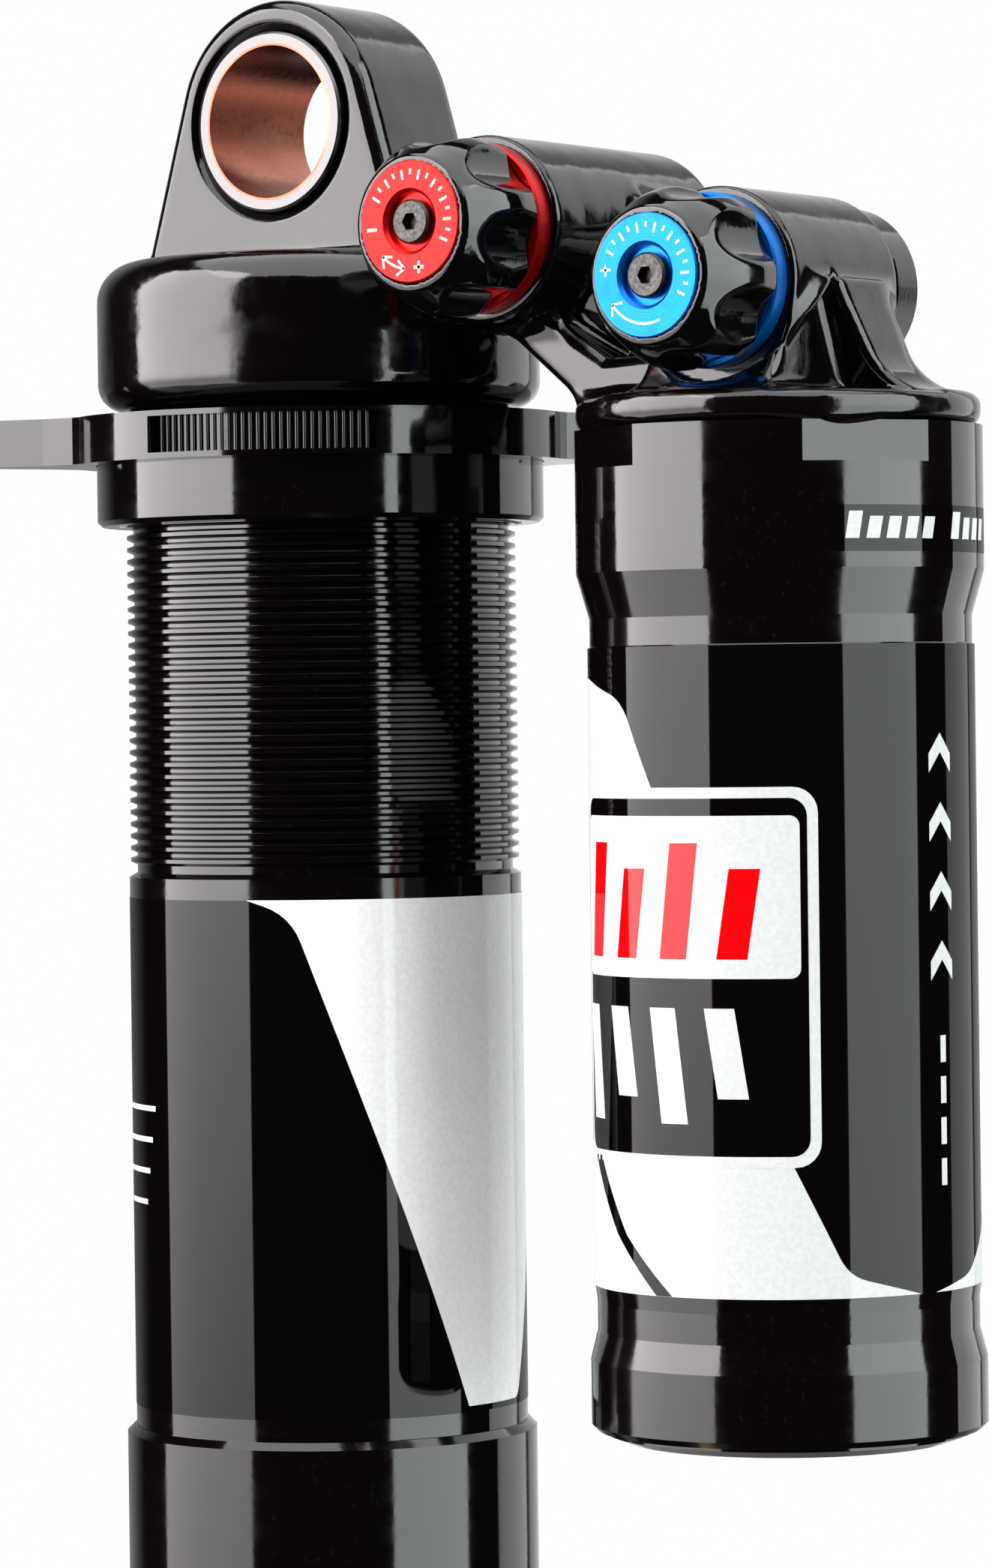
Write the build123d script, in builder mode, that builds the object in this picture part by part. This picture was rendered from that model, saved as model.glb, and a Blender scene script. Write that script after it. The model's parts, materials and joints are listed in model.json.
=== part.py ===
from build123d import *
import math
import os

# Piggyback coil-over rear shock, shown without its spring. Millimetres.
# Origin: centre of the upper eyelet bore. +Z up along the damper axis (the shaft leaves
# towards -Z), Y along the eyelet bores, +X towards the reservoir. The knobs face -Y.

os.makedirs("parts", exist_ok=True)

# ---- driving dimensions ----
EYE_TO_EYE = 240.0
STROKE = 76.0
EYE_BORE_R = 6.35  # half-inch bushing bore
BUSHING_R = 7.5
EYE_WIDTH = 12.7
LUG_R = 10.2
LUG_TAPER = 16.7  # degrees by which each side of the lug leans outwards going down
LUG_EDGE_R = 1.6
CHAMFER = 0.4
EDGE = 0.5  # usual corner break on the turned parts
LUG_INSET = 0.1  # how far each lug face stands back from the bushing's end
OVERLAP = 1.0  # how far a cutter runs past the face that it opens

HEAD_R = 18.6
HEAD_TOP = -11.4
HEAD_BOTTOM = -23.8

BODY_R = 16.49
THREAD_R = 16.36
THREAD_ROOT_R = 15.8
THREAD_PITCH = 1.0
THREAD_END = -62.5
BODY_BORE_R = 14.3
BODY_TOP = -15.2
BODY_END = -116.0
SLEEVE_R = 17.26
SLEEVE_TOP = -108.9
SLEEVE_BOTTOM = -129.0
SLEEVE_BORE_R = 15.6

COLLAR_TOP = -24.5
COLLAR_BOTTOM = -28.4
COLLAR_R = 21.0
COLLAR_KNURL_R = 20.0
COLLAR_TIP_R = 27.0
WING_ANGLE = 38.2  # direction of the collar's two wings, from +X towards +Y
PRELOAD_TURNS = 10
PILOT_R = 18.78  # fits inside the spring
PILOT_BOTTOM = -33.5

RESERVOIR_X = 46.4
CAP_R = 16.1
CAP_TOP = -24.6
CAP_BOTTOM = -27.2
RESERVOIR_BORE_R = 13.9
RESERVOIR_BAND_R = 16.24
RESERVOIR_WAIST_R = 15.37
RESERVOIR_FOOT_R = 15.8
RESERVOIR_BOTTOM = -106.7

BARREL_R = 7.5
KNOB_R = 7.6
KNOB_LENGTH = 9.6  # from the barrel's mouth to the front of the knob's disc
KNOB_FLUTES = 7
DISC_R = 4.85
KNOB_RING_R = 6.9
KNOB_RING_LENGTH = 1.65
SPINDLE_R = 2.0
BACK_PLUG_R = 6.8
BACK_PLUG_LENGTH = 4.4
KNOB_ROOM = 0.5  # clearance cut round each knob
PLUG_ROOM = 0.2
RUNNING = 0.04  # radial clearance of a running fit

SHAFT_R = 6.0
LOWER_EYE_Z = -EYE_TO_EYE
WIPER_LIP = 0.5  # how far the wiper stands out below the sleeve
BUMPER_TOP = SLEEVE_BOTTOM - WIPER_LIP - 0.1 - STROKE
BUMPER_LENGTH = 11.4
SHOULDER_TOP = BUMPER_TOP - BUMPER_LENGTH
SPRING_SEAT_R = 27.0

# Where each knob's axis runs, how far its barrel reaches along Y, and its first flute's angle.
KNOBS = {
    "rebound": {"x": 25.0, "z": -10.6, "mouth": -10.4, "back": 14.0, "flute": 90},
    "compression": {"x": RESERVOIR_X, "z": -15.9, "mouth": -8.6, "back": 6.6, "flute": 76},
}

reservoir_plane = Plane((RESERVOIR_X, 0, 0), x_dir=(1, 0, 0), z_dir=(0, -1, 0))
reservoir_axis = Axis((RESERVOIR_X, 0, 0), (0, 0, 1))


def knob_plane(knob):
    """A plane through a knob's axis: x is the radius, y runs outwards from the barrel's mouth."""
    return Plane((knob["x"], knob["mouth"], knob["z"]), x_dir=(1, 0, 0), z_dir=(0, 0, -1))


def knob_face(knob, distance):
    """A plane square to a knob's axis, this far outside the barrel's mouth, facing out."""
    return Plane((knob["x"], knob["mouth"] - distance, knob["z"]), x_dir=(1, 0, 0), z_dir=(0, -1, 0))


def turned(outline, plane=Plane.XZ, mode=Mode.ADD):
    """Revolve a closed outline of (radius, height) points about the plane's own y axis."""
    with BuildSketch(plane) as section:
        with BuildLine():
            Polyline(*outline, close=True)
        make_face()
    revolve(section.sketch, axis=Axis(plane.origin, plane.y_dir), mode=mode)


def ring(outer, inner, bottom, top, plane=Plane.XZ, bevel=0.0, mode=Mode.ADD):
    """A round tube about the plane's y axis with its outer corners bevelled."""
    outline = [(inner, bottom), (outer - bevel, bottom), (outer, bottom + bevel)]
    outline += [(outer, top - bevel), (outer - bevel, top), (inner, top)]
    turned([point for i, point in enumerate(outline) if point != outline[i - 1]], plane, mode)


def eyelet_outline(centre_z, foot_z, lean):
    """A round lug's outline about (0, centre_z) whose straight sides lean out to foot_z."""
    side = math.radians(lean)
    foot = 1 if foot_z > centre_z else -1
    tangent_x = LUG_R * math.cos(side)
    tangent_z = centre_z - foot * LUG_R * math.sin(side)
    foot_x = tangent_x + abs(foot_z - tangent_z) * math.tan(side)
    with BuildLine() as outline:
        ThreePointArc((-tangent_x, tangent_z), (0, centre_z - foot * LUG_R), (tangent_x, tangent_z))
        Polyline((tangent_x, tangent_z), (foot_x, foot_z), (-foot_x, foot_z), (-tangent_x, tangent_z))
    return outline.line


# ---- damper head: one casting ----
LUG_FOOT = HEAD_TOP - 3.0
HEAD_EDGE_R = 2.6
WEB_FRONT = -6.1
WEB_BACK = 8.0
WEB_WALL_FRONT = 0.5
EMBED = 0.5  # how far the pedestal and the web sink into the cap
WEB_UNDERSIDE = [(24.6, -17.2), (31.4, CAP_TOP - EMBED)]  # (X, Z), from the head to the cap
CAP_EDGE = 0.9
PEDESTAL_FOOT = (20.9, 18.6)
PEDESTAL_Y = -0.8
PEDESTAL_CORNER_R = 5.0
PEDESTAL_TAPER = 14.5
PEDESTAL_TOP = -14.5
POCKET = [(-9.0, CAP_TOP), (-0.2, CAP_TOP), (-3.4, -15.8)]  # (Y, Z) corners of each flank's pocket
POCKET_FLOOR = 6.2  # distance of its floor from the reservoir's axis
CHAMBER_R = 11.0
CHAMBER_HEIGHT = 2.6
PASSAGE_R = 1.5
PASSAGE_START = 5.0
PASSAGE_Y = 4.0
PASSAGE_Z = -14.0
SPINDLE_BORE_END = -14.0  # from the barrel's mouth
VALVE_CHAMBER_R = 5.5
VALVE_CHAMBER_FRONT = -3.0
SPIGOT_R = 14.6
SPIGOT_BOTTOM = -33.0
SPIGOT_GROOVE_R = 13.2
SPIGOT_GROOVE_Z = -30.0
O_RING_R = 1.0
O_RING_SLACK = 0.05  # gap above and below each O-ring in its groove

with BuildPart() as upper_head:
    with BuildSketch(Plane.XZ) as lug_face:
        with BuildLine():
            add(eyelet_outline(0, LUG_FOOT, LUG_TAPER))
        make_face()
    extrude(amount=EYE_WIDTH / 2 - LUG_INSET, both=True)
    fillet(
        [edge for edge in upper_head.edges() if edge.length > 5 and edge.center().Z > LUG_FOOT + 1
         and abs(edge.center().Y) > 1],
        radius=LUG_EDGE_R,
    )
    turned([(0, HEAD_BOTTOM), (HEAD_R - 1, HEAD_BOTTOM), (HEAD_R, HEAD_BOTTOM + 1),
            (HEAD_R, HEAD_TOP - HEAD_EDGE_R), (HEAD_R - 0.75, HEAD_TOP - 0.75),
            (HEAD_R - HEAD_EDGE_R, HEAD_TOP), (0, HEAD_TOP)])
    # the two barrels that carry the adjusters
    for knob in KNOBS.values():
        ring(BARREL_R, 0, knob["mouth"] - knob["back"], 0, knob_plane(knob), bevel=EDGE)
    # reservoir cap and the tapered pedestal under the compression barrel
    ring(CAP_R, 0, CAP_BOTTOM, CAP_TOP, reservoir_plane, bevel=CAP_EDGE)
    with BuildSketch(Plane.XY.offset(CAP_TOP - EMBED)):
        with Locations((RESERVOIR_X, PEDESTAL_Y)):
            RectangleRounded(*PEDESTAL_FOOT, radius=PEDESTAL_CORNER_R)
    extrude(amount=PEDESTAL_TOP - CAP_TOP + EMBED, taper=PEDESTAL_TAPER)
    # bridge from the head to the cap: a rim that follows the underside, and a wall set back
    with BuildSketch(Plane.XZ.offset(-WEB_BACK)):
        Polygon((14, -15), *WEB_UNDERSIDE, (37, CAP_TOP - EMBED), (38, -21.5), (33, -21.0), (27.5, -14.5),
                (14, HEAD_TOP), align=None)
    extrude(amount=WEB_BACK - WEB_FRONT)
    with BuildSketch(Plane.XZ.offset(-WEB_BACK)):
        Polygon((17, -14), *WEB_UNDERSIDE, (44, CAP_TOP - EMBED), (44, -10.5), (30, -7.5), (24, -8),
                align=None)
    extrude(amount=WEB_BACK - WEB_WALL_FRONT)
    # triangular pockets in both flanks of the pedestal
    for side in (-1, 1):
        with BuildSketch(Plane.YZ.offset(RESERVOIR_X + side * POCKET_FLOOR)):
            Polygon(*POCKET, align=None)
        extrude(amount=side * CAP_R / 2, mode=Mode.SUBTRACT)
    # spigot that the reservoir screws on to, below the cap
    ring(SPIGOT_R, 0, SPIGOT_BOTTOM, CAP_BOTTOM, reservoir_plane, bevel=CHAMFER)
    ring(SPIGOT_R + OVERLAP, SPIGOT_GROOVE_R, SPIGOT_GROOVE_Z - O_RING_R, SPIGOT_GROOVE_Z + O_RING_R,
         reservoir_plane, mode=Mode.SUBTRACT)
    # eyelet bore with a countersink at both ends
    ring(BUSHING_R, 0, -EYE_WIDTH, EYE_WIDTH, Plane.XY, mode=Mode.SUBTRACT)
    # socket for the body, and the oil chamber above it
    ring(THREAD_ROOT_R, 0, HEAD_BOTTOM - OVERLAP, BODY_TOP, mode=Mode.SUBTRACT)
    ring(CHAMBER_R, 0, BODY_TOP - OVERLAP, BODY_TOP + CHAMBER_HEIGHT, mode=Mode.SUBTRACT)
    # spindle bores, and the compression valve's chamber open at the back
    for knob in KNOBS.values():
        ring(SPINDLE_R + RUNNING, 0, SPINDLE_BORE_END, OVERLAP, knob_plane(knob), mode=Mode.SUBTRACT)
    blue = KNOBS["compression"]
    blue_back = blue["mouth"] - blue["back"]
    ring(VALVE_CHAMBER_R, 0, blue_back - OVERLAP, blue["mouth"] - VALVE_CHAMBER_FRONT,
         knob_plane(blue), mode=Mode.SUBTRACT)
    # room for the knobs in front of the barrels, and a spot face for the plug behind
    for knob in KNOBS.values():
        ring(KNOB_R + KNOB_ROOM, 0, 0, KNOB_LENGTH, knob_plane(knob), mode=Mode.SUBTRACT)
    ring(BACK_PLUG_R + PLUG_ROOM, 0, blue_back - BACK_PLUG_LENGTH - OVERLAP, blue_back, knob_plane(blue),
         mode=Mode.SUBTRACT)
    # oil passages: head to valve chamber, and valve chamber down to the reservoir
    with BuildSketch(Plane.YZ.offset(PASSAGE_START)):
        with Locations((PASSAGE_Y, PASSAGE_Z)):
            Circle(PASSAGE_R)
    extrude(amount=RESERVOIR_X - PASSAGE_START, mode=Mode.SUBTRACT)
    with BuildSketch(Plane.XY.offset(SPIGOT_BOTTOM - OVERLAP)):
        with Locations((RESERVOIR_X, PASSAGE_Y / 2)):
            Circle(PASSAGE_R)
    extrude(amount=blue["z"] - SPIGOT_BOTTOM, mode=Mode.SUBTRACT)

upper_head.part.label = "upper_head"
export_step(upper_head.part, "parts/upper_head.step")

# ---- eyelet bushings ----
for node, centre_z in (("upper_bushing", 0.0), ("lower_bushing", LOWER_EYE_Z)):
    with BuildPart() as bushing:
        ring(BUSHING_R, EYE_BORE_R, -EYE_WIDTH / 2, EYE_WIDTH / 2,
             Plane((0, 0, centre_z), x_dir=(1, 0, 0), z_dir=(0, 0, 1)), bevel=0.2)
    bushing.part.label = node
    export_step(bushing.part, f"parts/{node}.step")

# ---- damper body ----
THREAD_FLAT = 0.3  # width of each crest and each root

with BuildPart() as body_tube:
    thread = []
    turn_top = HEAD_BOTTOM - 0.5
    while turn_top - THREAD_PITCH > THREAD_END:
        thread += [(THREAD_R, turn_top), (THREAD_R, turn_top - THREAD_FLAT)]
        thread += [(THREAD_ROOT_R, turn_top - 0.5 * THREAD_PITCH - 0.05)]
        thread += [(THREAD_ROOT_R, turn_top - THREAD_PITCH + 0.2)]
        turn_top -= THREAD_PITCH
    outline = [(BODY_BORE_R, BODY_TOP), (THREAD_ROOT_R, BODY_TOP), (THREAD_ROOT_R, HEAD_BOTTOM)]
    outline += thread
    outline += [(THREAD_ROOT_R, THREAD_END), (BODY_R, THREAD_END - 0.4), (BODY_R, SLEEVE_TOP)]
    outline += [(SLEEVE_BORE_R, SLEEVE_TOP), (SLEEVE_BORE_R, BODY_END), (BODY_BORE_R, BODY_END)]
    turned(outline)

body_tube.part.label = "body_tube"
export_step(body_tube.part, "parts/body_tube.step")

with BuildPart() as lower_sleeve:
    turned([(SLEEVE_BORE_R, SLEEVE_TOP), (SLEEVE_R - 0.6, SLEEVE_TOP), (SLEEVE_R, SLEEVE_TOP - 0.6),
            (SLEEVE_R, SLEEVE_BOTTOM + 1.2), (SLEEVE_R - 1.2, SLEEVE_BOTTOM), (SLEEVE_BORE_R, SLEEVE_BOTTOM)])

lower_sleeve.part.label = "lower_sleeve"
export_step(lower_sleeve.part, "parts/lower_sleeve.step")

# ---- seal head, which closes the body and guides the shaft ----
SEAL_HEAD_TOP = -112.5
WIPER_R = 9.0
WIPER_TOP = SLEEVE_BOTTOM + 4.0
SEAL_R = 8.6
SEAL_TOP = SEAL_HEAD_TOP - 0.8
SEAL_BOTTOM = SEAL_TOP - 3.2
GUIDE_R = 7.0
O_RING_Z = (BODY_END + SEAL_HEAD_TOP) / 2
O_RING_DEPTH = 1.5
SPANNER_HOLES = 4
SPANNER_HOLE_R = 1.25

with BuildPart() as seal_head:
    turned([(GUIDE_R, WIPER_TOP), (WIPER_R, WIPER_TOP), (WIPER_R, SLEEVE_BOTTOM),
            (SLEEVE_BORE_R, SLEEVE_BOTTOM), (SLEEVE_BORE_R, BODY_END), (BODY_BORE_R, BODY_END),
            (BODY_BORE_R, O_RING_Z - O_RING_R), (BODY_BORE_R - O_RING_DEPTH, O_RING_Z - O_RING_R),
            (BODY_BORE_R - O_RING_DEPTH, O_RING_Z + O_RING_R), (BODY_BORE_R, O_RING_Z + O_RING_R),
            (BODY_BORE_R, SEAL_HEAD_TOP), (SEAL_R, SEAL_HEAD_TOP), (SEAL_R, SEAL_BOTTOM),
            (GUIDE_R, SEAL_BOTTOM)])
    # four holes for a pin spanner
    with BuildSketch(Plane.XY.offset(SLEEVE_BOTTOM)):
        with PolarLocations((WIPER_R + SLEEVE_BORE_R) / 2, SPANNER_HOLES):
            Circle(SPANNER_HOLE_R)
    extrude(amount=WIPER_TOP - SLEEVE_BOTTOM - OVERLAP, mode=Mode.SUBTRACT)

seal_head.part.label = "seal_head"
export_step(seal_head.part, "parts/seal_head.step")

with BuildPart() as seal_head_o_ring:
    ring(BODY_BORE_R, BODY_BORE_R - O_RING_DEPTH, O_RING_Z - O_RING_R + O_RING_SLACK,
         O_RING_Z + O_RING_R - O_RING_SLACK, bevel=CHAMFER)

seal_head_o_ring.part.label = "seal_head_o_ring"
export_step(seal_head_o_ring.part, "parts/seal_head_o_ring.step")

with BuildPart() as wiper_seal:
    turned([(SHAFT_R + RUNNING, WIPER_TOP), (WIPER_R, WIPER_TOP), (WIPER_R, SLEEVE_BOTTOM),
            (WIPER_R - 0.8, SLEEVE_BOTTOM - WIPER_LIP), (SHAFT_R + 0.7, SLEEVE_BOTTOM - WIPER_LIP),
            (SHAFT_R + RUNNING, SLEEVE_BOTTOM - 0.1)])

wiper_seal.part.label = "wiper_seal"
export_step(wiper_seal.part, "parts/wiper_seal.step")

with BuildPart() as shaft_seal:
    turned([(SHAFT_R + RUNNING, SEAL_BOTTOM), (SEAL_R, SEAL_BOTTOM), (SEAL_R, SEAL_TOP),
            (SHAFT_R + 1.4, SEAL_TOP), (SHAFT_R + RUNNING, SEAL_TOP - 1)])

shaft_seal.part.label = "shaft_seal"
export_step(shaft_seal.part, "parts/shaft_seal.step")

with BuildPart() as shaft_guide:
    ring(GUIDE_R, SHAFT_R + RUNNING, WIPER_TOP, SEAL_BOTTOM)

shaft_guide.part.label = "shaft_guide"
export_step(shaft_guide.part, "parts/shaft_guide.step")

# ---- shaft assembly ----
PISTON_BOTTOM = -108.0
PISTON_TOP = -98.0
PISTON_R = BODY_BORE_R - 0.3
SHAFT_STEP_R = 4.0
SHIM_R = 10.0
SHIM_STACK = 1.2
NUT_TOP = -93.0
SHAFT_BOTTOM = SHOULDER_TOP - 8

with BuildPart() as shaft:
    turned([(0, SHAFT_BOTTOM), (SHAFT_R, SHAFT_BOTTOM), (SHAFT_R, PISTON_BOTTOM - SHIM_STACK),
            (SHAFT_STEP_R, PISTON_BOTTOM - SHIM_STACK), (SHAFT_STEP_R, NUT_TOP - 0.4),
            (SHAFT_STEP_R - 0.4, NUT_TOP), (0, NUT_TOP)])

shaft.part.label = "shaft"
export_step(shaft.part, "parts/shaft.step")

with BuildPart() as main_piston:
    turned([(SHAFT_STEP_R, PISTON_BOTTOM), (PISTON_R, PISTON_BOTTOM), (PISTON_R, PISTON_BOTTOM + 2.5),
            (PISTON_R - 1, PISTON_BOTTOM + 2.5), (PISTON_R - 1, PISTON_TOP - 2.5),
            (PISTON_R, PISTON_TOP - 2.5), (PISTON_R, PISTON_TOP), (SHAFT_STEP_R, PISTON_TOP)])
    # oil ports, alternately large and small
    with BuildSketch(Plane.XY.offset(PISTON_BOTTOM)):
        with PolarLocations(8.0, 3):
            Circle(1.6)
        with PolarLocations(8.0, 3, start_angle=60):
            Circle(1.1)
    extrude(amount=PISTON_TOP - PISTON_BOTTOM, mode=Mode.SUBTRACT)

main_piston.part.label = "main_piston"
export_step(main_piston.part, "parts/main_piston.step")

with BuildPart() as piston_band:
    ring(BODY_BORE_R - RUNNING, PISTON_R - 1, PISTON_BOTTOM + 2.5, PISTON_TOP - 2.5)

piston_band.part.label = "piston_band"
export_step(piston_band.part, "parts/piston_band.step")

for node, bottom in (("rebound_shims", PISTON_BOTTOM - SHIM_STACK), ("compression_shims", PISTON_TOP)):
    with BuildPart() as shims:
        ring(SHIM_R, SHAFT_STEP_R, bottom, bottom + SHIM_STACK, bevel=0.3)
    shims.part.label = node
    export_step(shims.part, f"parts/{node}.step")

with BuildPart() as piston_nut:
    with BuildSketch(Plane.XY.offset(PISTON_TOP + SHIM_STACK)):
        RegularPolygon(6.5, 6, major_radius=False)
        Circle(SHAFT_STEP_R, mode=Mode.SUBTRACT)
    extrude(amount=NUT_TOP - 0.5 - PISTON_TOP - SHIM_STACK)

piston_nut.part.label = "piston_nut"
export_step(piston_nut.part, "parts/piston_nut.step")

with BuildPart() as bottom_out_bumper:
    bumper_foot = BUMPER_TOP - BUMPER_LENGTH
    turned([(SHAFT_R, bumper_foot), (10.6, bumper_foot), (10.6, bumper_foot + 5),
            (9.2, bumper_foot + 6.2), (9.2, bumper_foot + 7.2), (10.2, bumper_foot + 8.4),
            (9.0, BUMPER_TOP), (SHAFT_R, BUMPER_TOP)])

bottom_out_bumper.part.label = "bottom_out_bumper"
export_step(bottom_out_bumper.part, "parts/bottom_out_bumper.step")

# ---- lower eyelet, spring retainer and beginning-rebound dial ----
SHOULDER_R = 15.0
SHOULDER_LENGTH = 3.0
NECK_R = 10.5
RETAINER_HOLE_R = 11.0
RETAINER_PLATE = 4.0
RETAINER_PILOT = 3.5
DIAL_Z = SHOULDER_TOP - 9.5
DIAL_MOUTH = 9.0
DIAL_R = 3.6
DIAL_LENGTH = 4.5

with BuildPart() as lower_eyelet:
    with BuildSketch(Plane.XZ):
        with BuildLine():
            add(eyelet_outline(LOWER_EYE_Z, SHOULDER_TOP - SHOULDER_LENGTH, 2.0))
        make_face()
    extrude(amount=EYE_WIDTH / 2 - LUG_INSET, both=True)
    fillet(
        [edge for edge in lower_eyelet.edges() if edge.length > 5 and abs(edge.center().Y) > 1
         and edge.center().Z < SHOULDER_TOP - SHOULDER_LENGTH - 1],
        radius=LUG_EDGE_R,
    )
    turned([(0, SHOULDER_TOP - 12), (NECK_R - 2.5, SHOULDER_TOP - 12), (NECK_R, SHOULDER_TOP - 8),
            (NECK_R, SHOULDER_TOP - SHOULDER_LENGTH - 2), (SHOULDER_R - 0.5, SHOULDER_TOP - SHOULDER_LENGTH),
            (SHOULDER_R, SHOULDER_TOP - 2), (SHOULDER_R, SHOULDER_TOP - 0.5),
            (SHOULDER_R - 0.5, SHOULDER_TOP), (0, SHOULDER_TOP)])
    # bushing bore, shaft socket and dial bore
    ring(BUSHING_R, 0, -EYE_WIDTH, EYE_WIDTH,
         Plane((0, 0, LOWER_EYE_Z), x_dir=(1, 0, 0), z_dir=(0, 0, 1)), mode=Mode.SUBTRACT)
    ring(SHAFT_R, 0, SHAFT_BOTTOM, SHOULDER_TOP + 1, mode=Mode.SUBTRACT)
    with BuildSketch(Plane.YZ.offset(SHAFT_R + 0.5)):
        with Locations((0, DIAL_Z)):
            Circle(SPINDLE_R + RUNNING)
    extrude(amount=10, mode=Mode.SUBTRACT)

lower_eyelet.part.label = "lower_eyelet"
export_step(lower_eyelet.part, "parts/lower_eyelet.step")

with BuildPart() as spring_retainer:
    turned([(RETAINER_HOLE_R, SHOULDER_TOP), (SPRING_SEAT_R - 0.8, SHOULDER_TOP),
            (SPRING_SEAT_R, SHOULDER_TOP + 0.8), (SPRING_SEAT_R, SHOULDER_TOP + RETAINER_PLATE - 0.5),
            (SPRING_SEAT_R - 0.5, SHOULDER_TOP + RETAINER_PLATE), (PILOT_R, SHOULDER_TOP + RETAINER_PLATE),
            (PILOT_R, SHOULDER_TOP + RETAINER_PLATE + RETAINER_PILOT - 1),
            (PILOT_R - 1, SHOULDER_TOP + RETAINER_PLATE + RETAINER_PILOT),
            (RETAINER_HOLE_R, SHOULDER_TOP + RETAINER_PLATE + RETAINER_PILOT)])
    # the slot that lets it slip over the shaft
    with BuildSketch(Plane.XY.offset(SHOULDER_TOP)):
        with Locations((0, SPRING_SEAT_R / 2 + 5)):
            Rectangle(2 * SHAFT_R + 1, SPRING_SEAT_R)
    extrude(amount=RETAINER_PLATE + RETAINER_PILOT, mode=Mode.SUBTRACT)

spring_retainer.part.label = "spring_retainer"
export_step(spring_retainer.part, "parts/spring_retainer.step")

dial_plane = Plane((0, 0, DIAL_Z), x_dir=(0, 0, 1), z_dir=(0, 1, 0))
GRIP_FLUTES = 12
GRIP_FLUTE_R = 0.6
DIAL_SLOT = (1.0, 4.4)

with BuildPart() as beginning_rebound_dial:
    turned([(0, SHAFT_R + 1), (SPINDLE_R, SHAFT_R + 1), (SPINDLE_R, NECK_R + 0.3),
            (DIAL_R, NECK_R + 0.3), (DIAL_R, NECK_R + DIAL_LENGTH - 0.5),
            (DIAL_R - 0.5, NECK_R + DIAL_LENGTH), (0, NECK_R + DIAL_LENGTH)], dial_plane)
    # finger grooves round the rim, and a slot across the face
    with BuildSketch(Plane.YZ.offset(NECK_R + 1.3)):
        with Locations((0, DIAL_Z)):
            with PolarLocations(DIAL_R + GRIP_FLUTE_R / 2, GRIP_FLUTES):
                Circle(GRIP_FLUTE_R)
    extrude(amount=DIAL_LENGTH, mode=Mode.SUBTRACT)
    with BuildSketch(Plane.YZ.offset(NECK_R + DIAL_LENGTH - DIAL_SLOT[0])):
        with Locations((0, DIAL_Z)):
            Rectangle(*DIAL_SLOT)
    extrude(amount=2 * DIAL_SLOT[0], mode=Mode.SUBTRACT)

beginning_rebound_dial.part.label = "beginning_rebound_dial"
export_step(beginning_rebound_dial.part, "parts/beginning_rebound_dial.step")

# ---- preload collar and the spring's pilot ring ----
collar_plane = Plane((0, 0, COLLAR_BOTTOM), x_dir=Vector(1, 0, 0).rotate(Axis.Z, WING_ANGLE), z_dir=(0, 0, 1))
KNURL_START = -132.0  # measured from the first wing, one side; the other is half a turn on
KNURL_SWEEP = 55.0
KNURL_RIDGES = 30
KNURL_DEPTH = 0.35
KNURL_SLOT = 0.32
LEDGE = 0.45  # thickness of the ledge above and below the knurl
COLLAR_HEIGHT = COLLAR_TOP - COLLAR_BOTTOM
WING_HALF = [(0, 20), (8, 18.8), (14.2, 15.3), (20.6, 5.5), (23.1, 3.6), (COLLAR_TIP_R, 1.8)]
PILOT_RECESS = 0.8  # how far the pilot ring reaches up into the collar

with BuildPart() as preload_collar:
    with BuildSketch(collar_plane):
        Circle(COLLAR_R)
        for across in (-1, 1):
            mirrored = [(across * x, -y) for x, y in reversed(WING_HALF)]
            Polygon(*[(across * x, y) for x, y in WING_HALF], *mirrored, align=None)
        Circle(THREAD_R + 0.1, mode=Mode.SUBTRACT)
    extrude(amount=COLLAR_HEIGHT)
    ring(PILOT_R + 0.1, 0, COLLAR_BOTTOM - OVERLAP, COLLAR_BOTTOM + PILOT_RECESS, mode=Mode.SUBTRACT)
    # a knurled recess in each side, with a thin ledge above and below it
    with BuildSketch(collar_plane.offset(LEDGE)):
        for half_turn in (0, 180):
            start = math.radians(KNURL_START + half_turn)
            end = math.radians(KNURL_START + half_turn + KNURL_SWEEP)
            middle = (start + end) / 2
            corners = [(start, THREAD_R), (start, COLLAR_TIP_R), (middle, 1.2 * COLLAR_TIP_R),
                       (end, COLLAR_TIP_R), (end, THREAD_R)]
            Polygon(*[(r * math.cos(turn), r * math.sin(turn)) for turn, r in corners], align=None)
        Circle(COLLAR_KNURL_R, mode=Mode.SUBTRACT)
    extrude(amount=COLLAR_HEIGHT - 2 * LEDGE, mode=Mode.SUBTRACT)
    with BuildSketch(collar_plane.offset(LEDGE)):
        for half_turn in (0, 180):
            with PolarLocations(COLLAR_KNURL_R, KNURL_RIDGES, start_angle=KNURL_START + half_turn + 1,
                                angular_range=KNURL_SWEEP - 2):
                Rectangle(2 * KNURL_DEPTH, KNURL_SLOT)
    extrude(amount=COLLAR_HEIGHT - 2 * LEDGE, mode=Mode.SUBTRACT)

preload_collar.part.label = "preload_collar"
export_step(preload_collar.part, "parts/preload_collar.step")

with BuildPart() as spring_pilot_ring:
    turned([(THREAD_R + 0.1, PILOT_BOTTOM + 0.5), (THREAD_R + 0.6, PILOT_BOTTOM),
            (PILOT_R - 0.4, PILOT_BOTTOM), (PILOT_R, PILOT_BOTTOM + 0.4),
            (PILOT_R, COLLAR_BOTTOM + PILOT_RECESS - 0.05),
            (THREAD_R + 0.1, COLLAR_BOTTOM + PILOT_RECESS - 0.05)])

spring_pilot_ring.part.label = "spring_pilot_ring"
export_step(spring_pilot_ring.part, "parts/spring_pilot_ring.step")

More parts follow.
